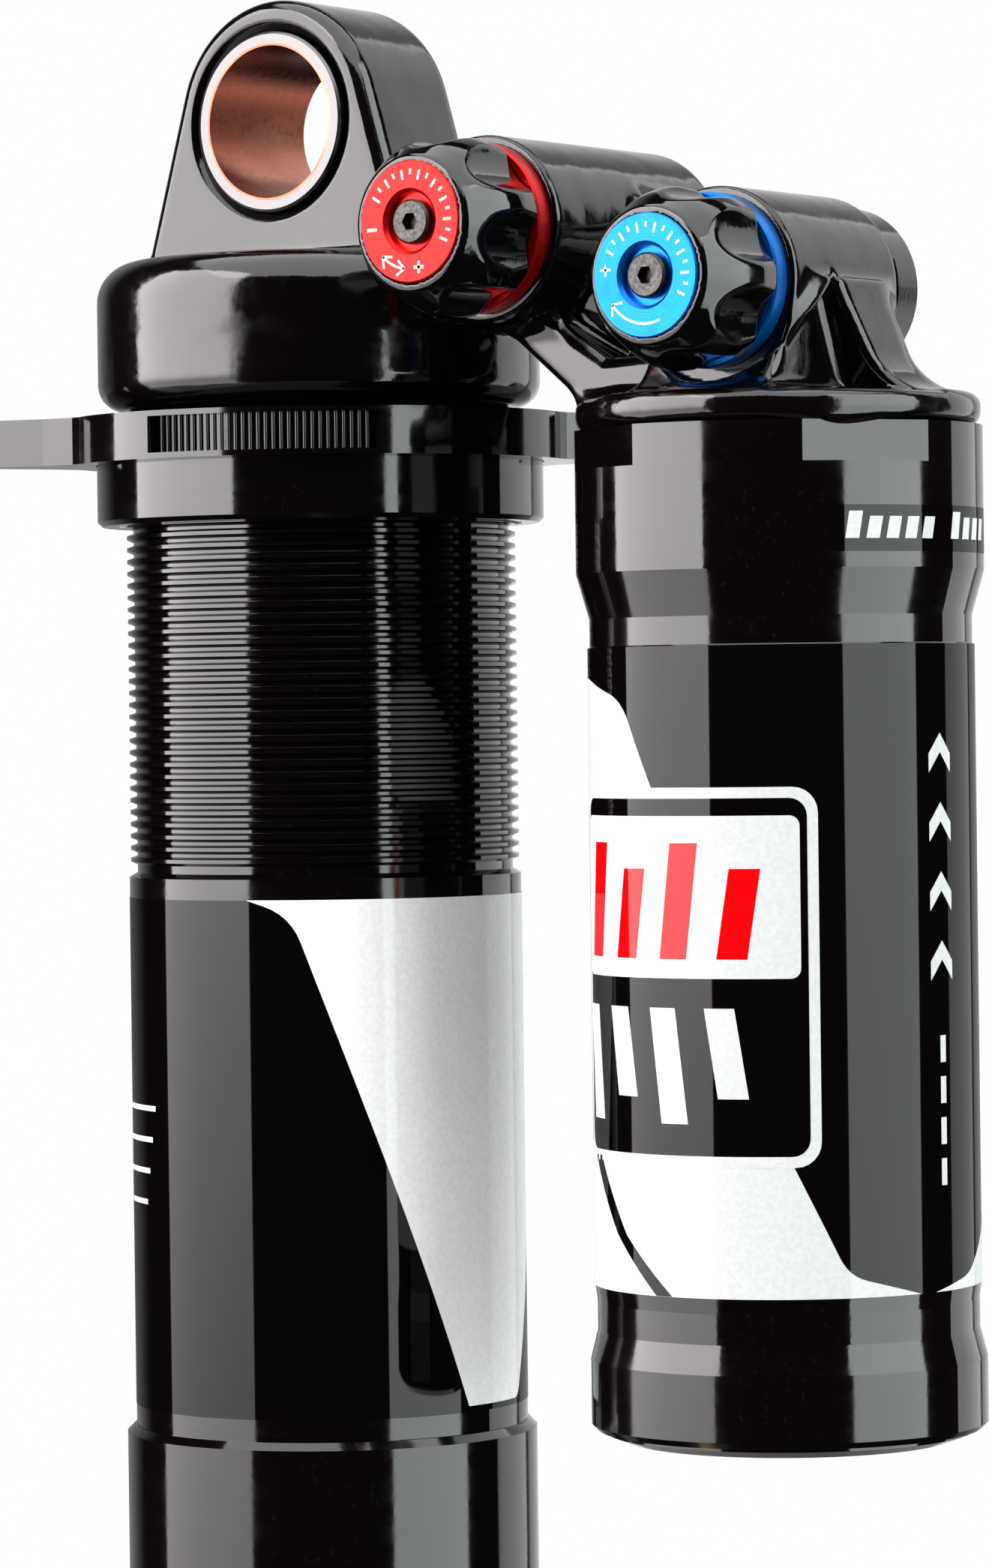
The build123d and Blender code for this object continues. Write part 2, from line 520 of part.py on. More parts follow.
# ---- reservoir ----
BAND_END = -38.6
WAIST_TOP = -44.4
WAIST_BOTTOM = -95.1
NECK_R_RESERVOIR = 15.22
FLAT_AZIMUTH = 60.0  # direction of the first wrench flat, from -Y towards +X
FLAT_DISTANCE = 15.3
FLAT_HEIGHT = 3.2
PLUG_TOP = -98.0

with BuildPart() as reservoir_tube:
    with BuildSketch(reservoir_plane) as wall:
        with BuildLine():
            Polyline((SPIGOT_R, CAP_BOTTOM), (RESERVOIR_BAND_R, CAP_BOTTOM), (RESERVOIR_BAND_R, BAND_END),
                     (NECK_R_RESERVOIR, BAND_END - 3.6), (NECK_R_RESERVOIR, WAIST_TOP),
                     (RESERVOIR_WAIST_R, WAIST_TOP - 0.2), (RESERVOIR_WAIST_R, WAIST_BOTTOM),
                     (NECK_R_RESERVOIR, WAIST_BOTTOM - 1.2), (NECK_R_RESERVOIR, WAIST_BOTTOM - 3.6),
                     (RESERVOIR_FOOT_R, WAIST_BOTTOM - 5.9), (RESERVOIR_FOOT_R, RESERVOIR_BOTTOM + 0.5),
                     (RESERVOIR_FOOT_R - 0.5, RESERVOIR_BOTTOM), (RESERVOIR_BORE_R, RESERVOIR_BOTTOM),
                     (RESERVOIR_BORE_R, SPIGOT_BOTTOM), (SPIGOT_R, SPIGOT_BOTTOM), close=True)
        make_face()
        soft_corners = [vertex for vertex in wall.vertices()
                        if abs(vertex.Z - BAND_END + 3.6) < 0.1 or abs(vertex.Z - WAIST_BOTTOM + 3.6) < 0.1]
        fillet(soft_corners, radius=4.0)
    revolve(axis=reservoir_axis)
    # four wrench flats just below the cap
    with BuildSketch(Plane((RESERVOIR_X, 0, CAP_BOTTOM - FLAT_HEIGHT),
                           x_dir=Vector(0, -1, 0).rotate(Axis.Z, FLAT_AZIMUTH), z_dir=(0, 0, 1))):
        Circle(RESERVOIR_BAND_R + 1)
        Rectangle(2 * FLAT_DISTANCE, 2 * FLAT_DISTANCE, mode=Mode.SUBTRACT)
    extrude(amount=FLAT_HEIGHT + 1, mode=Mode.SUBTRACT)

reservoir_tube.part.label = "reservoir_tube"
export_step(reservoir_tube.part, "parts/reservoir_tube.step")

with BuildPart() as reservoir_o_ring:
    ring(SPIGOT_R, SPIGOT_GROOVE_R, SPIGOT_GROOVE_Z - O_RING_R + O_RING_SLACK,
         SPIGOT_GROOVE_Z + O_RING_R - O_RING_SLACK, reservoir_plane, bevel=CHAMFER)

reservoir_o_ring.part.label = "reservoir_o_ring"
export_step(reservoir_o_ring.part, "parts/reservoir_o_ring.step")

VALVE_R = 3.85
VALVE_CAP_R = 4.8
PLUG_FLANGE_R = 14.6
PLUG_FLANGE = 0.9
PLUG_RECESS_R = 7.5
PLUG_RECESS = 7.0

with BuildPart() as reservoir_end_plug:
    turned([(0, PLUG_TOP), (RESERVOIR_BORE_R, PLUG_TOP), (RESERVOIR_BORE_R, RESERVOIR_BOTTOM),
            (PLUG_FLANGE_R, RESERVOIR_BOTTOM), (PLUG_FLANGE_R, RESERVOIR_BOTTOM - 0.3),
            (PLUG_FLANGE_R - 1.6, RESERVOIR_BOTTOM - PLUG_FLANGE),
            (PLUG_RECESS_R, RESERVOIR_BOTTOM - PLUG_FLANGE),
            (PLUG_RECESS_R, RESERVOIR_BOTTOM - PLUG_FLANGE + PLUG_RECESS),
            (VALVE_R - 1, RESERVOIR_BOTTOM - PLUG_FLANGE + PLUG_RECESS),
            (VALVE_R - 1, PLUG_TOP - 1), (0, PLUG_TOP - 1)], reservoir_plane)

reservoir_end_plug.part.label = "reservoir_end_plug"
export_step(reservoir_end_plug.part, "parts/reservoir_end_plug.step")

VALVE_TOP = RESERVOIR_BOTTOM - PLUG_FLANGE + PLUG_RECESS
VALVE_TIP = RESERVOIR_BOTTOM - PLUG_FLANGE + 1.0

with BuildPart() as air_valve:
    turned([(0, PLUG_TOP - 1), (VALVE_R - 1, PLUG_TOP - 1), (VALVE_R - 1, VALVE_TOP),
            (VALVE_R, VALVE_TOP), (VALVE_R, VALVE_TIP), (1.6, VALVE_TIP), (1.6, VALVE_TIP + 2),
            (0, VALVE_TIP + 2)], reservoir_plane)

air_valve.part.label = "air_valve"
export_step(air_valve.part, "parts/air_valve.step")

with BuildPart() as air_valve_cap:
    turned([(VALVE_R, VALVE_TOP - 1.2), (VALVE_CAP_R, VALVE_TOP - 1.2), (VALVE_CAP_R, VALVE_TIP - 0.4),
            (VALVE_CAP_R - 0.8, VALVE_TIP - 1.2), (0, VALVE_TIP - 1.2), (0, VALVE_TIP), (VALVE_R, VALVE_TIP)],
           reservoir_plane)
    with BuildSketch(Plane((RESERVOIR_X, 0, VALVE_TIP - 1.2))):
        with PolarLocations(VALVE_CAP_R + GRIP_FLUTE_R / 2, GRIP_FLUTES):
            Circle(GRIP_FLUTE_R)
    extrude(amount=VALVE_TOP - VALVE_TIP, mode=Mode.SUBTRACT)

air_valve_cap.part.label = "air_valve_cap"
export_step(air_valve_cap.part, "parts/air_valve_cap.step")

# floating piston between the oil above and the gas below, and its two rings
FLOAT_TOP = -40.0
FLOAT_LENGTH = 12.0
FLOAT_R = RESERVOIR_BORE_R - 0.3

with BuildPart() as floating_piston:
    turned([(0, FLOAT_TOP), (FLOAT_R, FLOAT_TOP), (FLOAT_R, FLOAT_TOP - 2.5),
            (FLOAT_R - 1.5, FLOAT_TOP - 2.5), (FLOAT_R - 1.5, FLOAT_TOP - 9.5),
            (FLOAT_R, FLOAT_TOP - 9.5), (FLOAT_R, FLOAT_TOP - FLOAT_LENGTH),
            (9, FLOAT_TOP - FLOAT_LENGTH), (9, FLOAT_TOP - 4), (0, FLOAT_TOP - 4)], reservoir_plane)

floating_piston.part.label = "floating_piston"
export_step(floating_piston.part, "parts/floating_piston.step")

with BuildPart() as floating_piston_ring:
    ring(RESERVOIR_BORE_R - RUNNING, FLOAT_R - 1.5, FLOAT_TOP - 9.5, FLOAT_TOP - 2.5, reservoir_plane)

floating_piston_ring.part.label = "floating_piston_ring"
export_step(floating_piston_ring.part, "parts/floating_piston_ring.step")

# ---- adjusters: a coloured ring in the barrel's mouth, a fluted knob, its disc, screw and spindle ----
KNOB_BACK = KNOB_RING_LENGTH + 0.15
DISC_SEAT = KNOB_LENGTH - 1.1
RIM_R = 5.2
KNOB_BACK_R = 7.05
SCREW_R = 1.8
SCREW_WELL_R = 2.36
FLUTE_R = 2.7
SPINDLE_INNER = -11.5

for node, knob in KNOBS.items():
    section = knob_plane(knob)

    with BuildPart() as knob_ring:
        ring(KNOB_RING_R, SPINDLE_R + RUNNING, 0, KNOB_RING_LENGTH, section, bevel=0.15)
    knob_ring.part.label = f"{node}_knob_ring"
    export_step(knob_ring.part, f"parts/{node}_knob_ring.step")

    with BuildPart() as knob_body:
        turned([(SPINDLE_R, KNOB_BACK), (KNOB_BACK_R, KNOB_BACK), (KNOB_R, KNOB_BACK + 3.4),
                (KNOB_R, KNOB_BACK + 4.2), (KNOB_R - 0.5, KNOB_BACK + 5.4), (RIM_R + 0.3, KNOB_LENGTH - 0.4),
                (RIM_R, KNOB_LENGTH - 0.15), (DISC_R, KNOB_LENGTH - 0.15), (DISC_R, DISC_SEAT),
                (SPINDLE_R, DISC_SEAT)], section)
        # finger flutes, deepest at the front, ending short of the back rim
        with BuildSketch(knob_face(knob, KNOB_LENGTH + 0.2)):
            with PolarLocations(RIM_R + FLUTE_R + 0.15, KNOB_FLUTES, start_angle=knob["flute"]):
                Circle(FLUTE_R)
        extrude(amount=-(KNOB_LENGTH - KNOB_BACK - 1.2), taper=9, mode=Mode.SUBTRACT)
    knob_body.part.label = f"{node}_knob"
    export_step(knob_body.part, f"parts/{node}_knob.step")

    with BuildPart() as knob_disc:
        turned([(SCREW_R - 0.6, DISC_SEAT), (DISC_R, DISC_SEAT), (DISC_R, KNOB_LENGTH - 0.1),
                (DISC_R - 0.1, KNOB_LENGTH), (SCREW_WELL_R + 0.3, KNOB_LENGTH),
                (SCREW_WELL_R, KNOB_LENGTH - 0.3), (SCREW_WELL_R, KNOB_LENGTH - 0.8),
                (SCREW_R - 0.6, KNOB_LENGTH - 0.8)], section)
    knob_disc.part.label = f"{node}_knob_disc"
    export_step(knob_disc.part, f"parts/{node}_knob_disc.step")

    with BuildPart() as knob_screw:
        turned([(0, DISC_SEAT - 3), (SCREW_R - 0.6, DISC_SEAT - 3), (SCREW_R - 0.6, KNOB_LENGTH - 0.8),
                (SCREW_R, KNOB_LENGTH - 0.8), (SCREW_R, KNOB_LENGTH - 0.25),
                (SCREW_R - 0.2, KNOB_LENGTH - 0.05),
                (0, KNOB_LENGTH - 0.05)], section)
        with BuildSketch(knob_face(knob, KNOB_LENGTH - 0.9)):
            RegularPolygon(0.75, 6)
        extrude(amount=1, mode=Mode.SUBTRACT)
    knob_screw.part.label = f"{node}_knob_screw"
    export_step(knob_screw.part, f"parts/{node}_knob_screw.step")

    with BuildPart() as spindle:
        turned([(0, SPINDLE_INNER), (SPINDLE_R - 0.5, SPINDLE_INNER), (SPINDLE_R, SPINDLE_INNER + 0.8),
                (SPINDLE_R, DISC_SEAT), (SCREW_R - 0.6, DISC_SEAT), (SCREW_R - 0.6, DISC_SEAT - 3),
                (0, DISC_SEAT - 3)], section)
    spindle.part.label = f"{node}_spindle"
    export_step(spindle.part, f"parts/{node}_spindle.step")

# ---- compression valve in its barrel, and the plug that closes the barrel's back ----
VALVE_BODY_FRONT = -9.0
VALVE_BODY_BACK = -13.5

with BuildPart() as compression_valve:
    blue_section = knob_plane(KNOBS["compression"])
    back = KNOBS["compression"]["mouth"] - KNOBS["compression"]["back"]
    ring(VALVE_CHAMBER_R, SPINDLE_R + RUNNING, VALVE_BODY_BACK, VALVE_BODY_FRONT, blue_section)

compression_valve.part.label = "compression_valve"
export_step(compression_valve.part, "parts/compression_valve.step")

with BuildPart() as barrel_end_plug:
    turned([(0, back), (VALVE_CHAMBER_R, back), (VALVE_CHAMBER_R, back + 1.2), (0, back + 1.2)],
           blue_section)
    ring(BACK_PLUG_R, 0, back - BACK_PLUG_LENGTH, back, blue_section, bevel=0.8)
    with BuildSketch(knob_face(KNOBS["compression"], back - BACK_PLUG_LENGTH)):
        RegularPolygon(2.5, 6)
    extrude(amount=2.5, mode=Mode.SUBTRACT)

barrel_end_plug.part.label = "barrel_end_plug"
export_step(barrel_end_plug.part, "parts/barrel_end_plug.step")
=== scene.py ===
import json
import math

import bmesh
import bpy
import numpy as np
import openvdb
from mathutils import Matrix, Vector
from mathutils.geometry import delaunay_2d_cdt


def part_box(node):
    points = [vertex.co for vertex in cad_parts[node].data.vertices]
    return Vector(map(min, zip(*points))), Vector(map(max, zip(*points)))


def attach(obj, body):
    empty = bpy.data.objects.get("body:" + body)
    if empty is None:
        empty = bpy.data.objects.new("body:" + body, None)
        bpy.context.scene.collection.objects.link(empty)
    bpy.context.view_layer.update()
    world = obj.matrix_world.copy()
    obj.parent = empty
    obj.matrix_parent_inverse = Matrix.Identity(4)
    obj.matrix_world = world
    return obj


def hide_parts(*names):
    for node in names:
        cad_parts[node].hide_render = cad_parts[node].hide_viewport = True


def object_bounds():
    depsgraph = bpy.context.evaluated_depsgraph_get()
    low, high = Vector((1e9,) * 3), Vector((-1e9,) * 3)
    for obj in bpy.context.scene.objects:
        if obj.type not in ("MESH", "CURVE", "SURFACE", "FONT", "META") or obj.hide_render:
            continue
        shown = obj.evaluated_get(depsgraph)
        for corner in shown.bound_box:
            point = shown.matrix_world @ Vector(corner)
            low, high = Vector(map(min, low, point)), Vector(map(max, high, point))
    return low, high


# Looks for the piggyback rear shock, in the CAD frame: the origin is the upper eyelet's centre,
# +Z runs up the damper, the knobs face -Y and the reservoir stands towards +X. Blender's own
# values are in metres; sizes, outlines and distance fields are in millimetres.

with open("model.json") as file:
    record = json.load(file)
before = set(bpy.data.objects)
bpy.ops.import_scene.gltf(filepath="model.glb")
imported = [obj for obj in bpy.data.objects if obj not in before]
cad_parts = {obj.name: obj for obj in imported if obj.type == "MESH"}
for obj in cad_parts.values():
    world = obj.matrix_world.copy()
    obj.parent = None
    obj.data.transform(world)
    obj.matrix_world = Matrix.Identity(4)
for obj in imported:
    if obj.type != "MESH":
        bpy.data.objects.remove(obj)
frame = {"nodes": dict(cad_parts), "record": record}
cad_low, cad_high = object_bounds()
nodes = frame["nodes"]
MM = 0.001


# ---------------------------------------------------------------- sizes read from the frame
def span(node):
    """Lowest and highest corner of a CAD node in millimetres."""
    lowest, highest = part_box(node)
    return np.array(lowest) / MM, np.array(highest) / MM


def middle_and_radius(node):
    """Axis position (x, z) and radius of a round CAD node whose axis runs along Y."""
    lowest, highest = span(node)
    return (lowest[0] + highest[0]) / 2, (lowest[2] + highest[2]) / 2, (highest[0] - lowest[0]) / 2


head_low, head_high = span("upper_head")
tube_low, tube_high = span("reservoir_tube")
body_high = span("body_tube")[1]
bushing_high = span("upper_bushing")[1]

BODY_R = body_high[0]
LOWER_EYE_Z = middle_and_radius("lower_bushing")[1]
BUSHING_R = bushing_high[0]
BUSHING_PROUD = 0.1  # how far the bushing stands out of the lug on each side
LUG_R = head_high[2]
LUG_HALF = bushing_high[1] - BUSHING_PROUD
LUG_LEAN = math.radians(16.7)
LUG_EDGE_R = 1.5
HEAD_R = -head_low[0]
HEAD_TOP = -11.4
HEAD_BOTTOM = -23.8
HEAD_TOP_EDGE_R = 3.4
HEAD_BOTTOM_EDGE_R = 2.2
RESERVOIR_X = (tube_low[0] + tube_high[0]) / 2
RESERVOIR_R = (tube_high[0] - tube_low[0]) / 2
CAP_R = head_high[0] - RESERVOIR_X
CAP_TOP = -24.6
CAP_BOTTOM = tube_high[2]
BARREL_R = 7.5
KNOB_NODES = ("rebound", "compression")


# ---------------------------------------------------------------- camera
CAMERA_AZIMUTH = math.radians(38.23)
CAMERA_DISTANCE = 0.50137
CAMERA_HEIGHT = -0.04972
CAMERA_YAW = math.radians(1.638)
CAMERA_PITCH = math.radians(-0.66)
CAMERA_ROLL = math.radians(0.732)
LENS_MM = 136.52
SENSOR_MM = 36.0
CLIP_START = 0.01


def add_camera():
    """The camera, level with the shock, in front of it and towards the reservoir's side."""
    position = Vector((
        CAMERA_DISTANCE * math.sin(CAMERA_AZIMUTH),
        -CAMERA_DISTANCE * math.cos(CAMERA_AZIMUTH),
        CAMERA_HEIGHT,
    ))
    level = Matrix.Rotation(CAMERA_AZIMUTH, 3, "Z") @ Matrix.Rotation(math.radians(90), 3, "X")
    turn = Matrix.Rotation(-CAMERA_YAW, 3, "Y")
    tilt = Matrix.Rotation(CAMERA_PITCH, 3, "X")
    roll = Matrix.Rotation(-CAMERA_ROLL, 3, "Z")
    data = bpy.data.cameras.new("camera")
    data.lens = LENS_MM
    data.sensor_width = SENSOR_MM
    data.clip_start = CLIP_START
    camera = bpy.data.objects.new("camera", data)
    camera.matrix_world = Matrix.Translation(position) @ (level @ turn @ tilt @ roll).to_4x4()
    bpy.context.scene.collection.objects.link(camera)
    bpy.context.scene.camera = camera


# ---------------------------------------------------------------- world, lights and floor
SHOCK_MIDDLE = Vector((0.02, 0.0, -0.08))
SOFTBOX_FADE = (0.34, 0.53)  # shares of a softbox's height between which its light changes
GLOW_EDGES = (0.66, 0.92)  # cosines of the angles off the camera's line where the glow begins and is full
GLOW_BRIGHTNESS = (0.01, 0.4)  # of the dark room and of the full glow
FLOOR_R = 0.55
FLOOR_SEGMENTS = 128
FLOOR_GAP = 0.0005


def direction(azimuth_degrees, elevation_degrees=0.0):
    """Unit vector from the shock: azimuth 0 is -Y, and it grows towards +X."""
    azimuth = math.radians(azimuth_degrees)
    elevation = math.radians(elevation_degrees)
    return Vector((
        math.sin(azimuth) * math.cos(elevation),
        -math.cos(azimuth) * math.cos(elevation),
        math.sin(elevation),
    ))


def add_softbox(name, azimuth, elevation, distance, width, height, brightness,
                tint=(1.0, 1.0, 1.0), low_share=1.0):
    """A rectangular light that faces the middle of the shock and that the camera can't see.

    Its lower part gives only low_share of the brightness of its upper part.
    """
    data = bpy.data.lights.new(name, "AREA")
    data.shape = "RECTANGLE"
    data.size = width
    data.size_y = height
    data.energy = brightness * math.pi * width * height
    data.color = tint
    data.use_nodes = True
    tree = data.node_tree
    emission = tree.nodes["Emission"]
    place = tree.nodes.new("ShaderNodeNewGeometry")
    parts = tree.nodes.new("ShaderNodeSeparateXYZ")
    tree.links.new(place.outputs["Parametric"], parts.inputs[0])
    strength = spread(tree, parts.outputs["Y"], *SOFTBOX_FADE, low_share, 1.0, smooth=True)
    tree.links.new(strength, emission.inputs["Strength"])
    light = bpy.data.objects.new(name, data)
    away = direction(azimuth, elevation)
    light.location = SHOCK_MIDDLE + away * distance
    light.rotation_mode = "QUATERNION"
    light.rotation_quaternion = away.to_track_quat("Z", "Y")
    light.visible_camera = False
    bpy.context.scene.collection.objects.link(light)


def add_world():
    """White paper all round for the camera; for reflections a dark room with a glow behind the shock."""
    world = bpy.data.worlds.new("studio")
    world.use_nodes = True
    tree = world.node_tree
    tree.nodes.clear()
    output = tree.nodes.new("ShaderNodeOutputWorld")
    mix = tree.nodes.new("ShaderNodeMixShader")
    seen = tree.nodes.new("ShaderNodeBackground")
    seen.inputs["Color"].default_value = (1.0, 1.0, 1.0, 1.0)
    seen.inputs["Strength"].default_value = 1.0
    lit = tree.nodes.new("ShaderNodeBackground")
    rays = tree.nodes.new("ShaderNodeLightPath")
    place = tree.nodes.new("ShaderNodeTexCoord")
    facing = tree.nodes.new("ShaderNodeVectorMath")
    facing.operation = "DOT_PRODUCT"
    facing.inputs[1].default_value = -direction(math.degrees(CAMERA_AZIMUTH))
    links = tree.links
    links.new(place.outputs["Generated"], facing.inputs[0])
    glow = spread(tree, facing.outputs["Value"], *GLOW_EDGES, *GLOW_BRIGHTNESS, smooth=True)
    links.new(glow, lit.inputs["Strength"])
    links.new(rays.outputs["Is Camera Ray"], mix.inputs["Fac"])
    links.new(lit.outputs[0], mix.inputs[1])
    links.new(seen.outputs[0], mix.inputs[2])
    links.new(mix.outputs[0], output.inputs["Surface"])
    bpy.context.scene.world = world


def new_object(name, mesh, body=None, material=None):
    """Link a mesh as an object, give it a material and let it ride on a CAD body."""
    thing = bpy.data.objects.new(name, mesh)
    bpy.context.scene.collection.objects.link(thing)
    if material is not None:
        thing.data.materials.append(material)
    if body is not None:
        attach(thing, body)
    return thing


def finished(name, shape):
    """The mesh of a bmesh that is done with."""
    mesh = bpy.data.meshes.new(name)
    shape.to_mesh(mesh)
    shape.free()
    return mesh


def add_floor(material):
    """A round pale floor just under the lower eyelet."""
    shape = bmesh.new()
    bmesh.ops.create_circle(shape, cap_ends=True, radius=FLOOR_R, segments=FLOOR_SEGMENTS)
    bmesh.ops.translate(shape, verts=shape.verts, vec=(SHOCK_MIDDLE.x, 0.0, cad_low.z - FLOOR_GAP))
    floor = new_object("floor", finished("floor", shape), material=material)
    floor.visible_glossy = False  # the glossy black parts show the lamps and the dark room only


# ---------------------------------------------------------------- materials
NOISE_RANGE = (0.3, 0.7)  # most of what a noise gives lies between these
COAT_ROUGHNESS = 0.04
FILM_GLOSS = 0.45
FILM_DOT_SHADE = 0.93  # brightness of a film's print dots against the rest of it


def new_material(name, base, roughness, metallic=0.0, coat=0.0):
    """A Principled material with plain settings; returns it with its tree and shader."""
    material = bpy.data.materials.new(name)
    material.use_nodes = True
    shader = material.node_tree.nodes["Principled BSDF"]
    shader.inputs["Base Color"].default_value = (*base, 1.0)
    shader.inputs["Roughness"].default_value = roughness
    shader.inputs["Metallic"].default_value = metallic
    shader.inputs["Coat Weight"].default_value = coat
    shader.inputs["Coat Roughness"].default_value = COAT_ROUGHNESS
    return material, material.node_tree, shader


def noise(tree, scale, detail=3.0, stretch=(1.0, 1.0, 1.0), centre=(0.0, 0.0, 0.0)):
    """Noise in object space, its coordinates multiplied by stretch."""
    place = tree.nodes.new("ShaderNodeTexCoord")
    mapping = tree.nodes.new("ShaderNodeMapping")
    mapping.inputs["Scale"].default_value = stretch
    mapping.inputs["Location"].default_value = centre
    texture = tree.nodes.new("ShaderNodeTexNoise")
    texture.inputs["Scale"].default_value = scale
    texture.inputs["Detail"].default_value = detail
    tree.links.new(place.outputs["Object"], mapping.inputs["Vector"])
    tree.links.new(mapping.outputs["Vector"], texture.inputs["Vector"])
    return texture.outputs["Fac"]


def spread(tree, value, low, high, out_low, out_high, smooth=False):
    """Map a value's range on to another, clamped; smooth eases it in and out."""
    ramp = tree.nodes.new("ShaderNodeMapRange")
    if smooth:
        ramp.interpolation_type = "SMOOTHSTEP"
    ramp.inputs["From Min"].default_value = low
    ramp.inputs["From Max"].default_value = high
    ramp.inputs["To Min"].default_value = out_low
    ramp.inputs["To Max"].default_value = out_high
    tree.links.new(value, ramp.inputs["Value"])
    return ramp.outputs["Result"]


def arithmetic(tree, operation, first, second):
    """One maths node; either input may be a socket or a number."""
    node = tree.nodes.new("ShaderNodeMath")
    node.operation = operation
    for socket, value in zip(node.inputs, (first, second)):
        if isinstance(value, bpy.types.NodeSocket):
            tree.links.new(value, socket)
        else:
            socket.default_value = value
    return node.outputs[0]


def mixed_colour(tree, factor, first, second):
    """Blend two colours by a factor socket; each may be a socket or an RGB triple."""
    mix = tree.nodes.new("ShaderNodeMix")
    mix.data_type = "RGBA"
    tree.links.new(factor, mix.inputs["Factor"])
    for socket, value in ((mix.inputs[6], first), (mix.inputs[7], second)):
        if isinstance(value, bpy.types.NodeSocket):
            tree.links.new(value, socket)
        else:
            socket.default_value = (*value, 1.0)
    return mix.outputs[2]


def tint_by(tree, shader, factor, first, second):
    """Make a blend of two colours the base colour."""
    tree.links.new(mixed_colour(tree, factor, first, second), shader.inputs["Base Color"])


def roughen_by(tree, shader, value, low, high):
    """Let a noise carry the roughness from one value to another."""
    tree.links.new(spread(tree, value, *NOISE_RANGE, low, high), shader.inputs["Roughness"])


def add_bump(tree, shader, heights, strength, distance):
    """Raise the surface by a height socket."""
    bump = tree.nodes.new("ShaderNodeBump")
    bump.inputs["Strength"].default_value = strength
    bump.inputs["Distance"].default_value = distance
    tree.links.new(heights, bump.inputs["Height"])
    tree.links.new(bump.outputs["Normal"], shader.inputs["Normal"])


def radius_from(tree, centre):
    """Distance from an axis through centre that runs along Y."""
    place = tree.nodes.new("ShaderNodeTexCoord")
    offset = tree.nodes.new("ShaderNodeVectorMath")
    offset.operation = "SUBTRACT"
    offset.inputs[1].default_value = centre
    flat = tree.nodes.new("ShaderNodeVectorMath")
    flat.operation = "MULTIPLY"
    flat.inputs[1].default_value = (1.0, 0.0, 1.0)
    length = tree.nodes.new("ShaderNodeVectorMath")
    length.operation = "LENGTH"
    tree.links.new(place.outputs["Object"], offset.inputs[0])
    tree.links.new(offset.outputs[0], flat.inputs[0])
    tree.links.new(flat.outputs[0], length.inputs[0])
    return length.outputs["Value"]


def rings_about(tree, centre, per_metre):
    """Fine turned rings about an axis along Y: noise that changes only with the radius."""
    texture = tree.nodes.new("ShaderNodeTexNoise")
    texture.noise_dimensions = "1D"
    texture.inputs["Scale"].default_value = per_metre
    texture.inputs["Detail"].default_value = 4.0
    tree.links.new(radius_from(tree, centre), texture.inputs["W"])
    return texture.outputs["Fac"]


def cast_black():
    """Thick gloss black over a casting: slightly wavy, with dust and small dull marks."""
    base = (0.0014, 0.0009, 0.001)
    dust_tint = (0.012, 0.011, 0.011)
    material, tree, shader = new_material("cast_black", base, 0.1)
    waves = noise(tree, 130.0, 2.0)
    grain = noise(tree, 1500.0, 4.0)
    height = arithmetic(tree, "ADD", waves, arithmetic(tree, "MULTIPLY", grain, 0.04))
    add_bump(tree, shader, height, 0.6, 0.00036)
    marks = spread(tree, noise(tree, 260.0, 6.0, centre=(3.0, 1.0, 2.0)), 0.58, 0.74, 0.0, 0.14)
    dull = arithmetic(tree, "ADD", spread(tree, grain, *NOISE_RANGE, 0.07, 0.13), marks)
    tree.links.new(dull, shader.inputs["Roughness"])
    dust = spread(tree, noise(tree, 2600.0, 2.0), 0.7, 0.8, 0.0, 0.5)
    tint_by(tree, shader, dust, base, dust_tint)
    return material


def black_anodised():
    """Polished black tube: faint rings from the lathe and soft streaks along it."""
    base = (0.0012, 0.0007, 0.0008)
    dust_tint = (0.005, 0.0045, 0.0045)
    material, tree, shader = new_material("black_anodised", base, 0.08)
    rings = noise(tree, 900.0, 3.0, stretch=(0.04, 0.04, 1.0))
    streaks = noise(tree, 60.0, 4.0, stretch=(1.0, 1.0, 0.15))
    grain = noise(tree, 2600.0, 2.0)
    roughness = arithmetic(
        tree, "ADD", spread(tree, rings, *NOISE_RANGE, 0.05, 0.1), spread(tree, streaks, 0.4, 0.8, 0.0, 0.05))
    tree.links.new(roughness, shader.inputs["Roughness"])
    height = arithmetic(tree, "ADD", rings, arithmetic(tree, "MULTIPLY", grain, 0.4))
    add_bump(tree, shader, height, 0.12, 0.00004)
    tint_by(tree, shader, spread(tree, grain, 0.62, 0.75, 0.0, 0.6), base, dust_tint)
    return material


def gloss_black_knob():
    """Moulded knob with a glossy skin and small scuffs from fingers."""
    base = (0.001, 0.001, 0.0011)
    dust_tint = (0.014, 0.013, 0.013)
    material, tree, shader = new_material("gloss_black_knob", base, 0.07)
    scuffs = spread(tree, noise(tree, 900.0, 8.0, stretch=(1.0, 0.3, 1.0)), 0.52, 0.7, 0.06, 0.2)
    tree.links.new(scuffs, shader.inputs["Roughness"])
    add_bump(tree, shader, noise(tree, 420.0, 3.0), 0.25, 0.00012)
    dust = spread(tree, noise(tree, 3000.0, 2.0, centre=(1.0, 5.0, 2.0)), 0.7, 0.78, 0.0, 0.6)
    tint_by(tree, shader, dust, base, dust_tint)
    return material


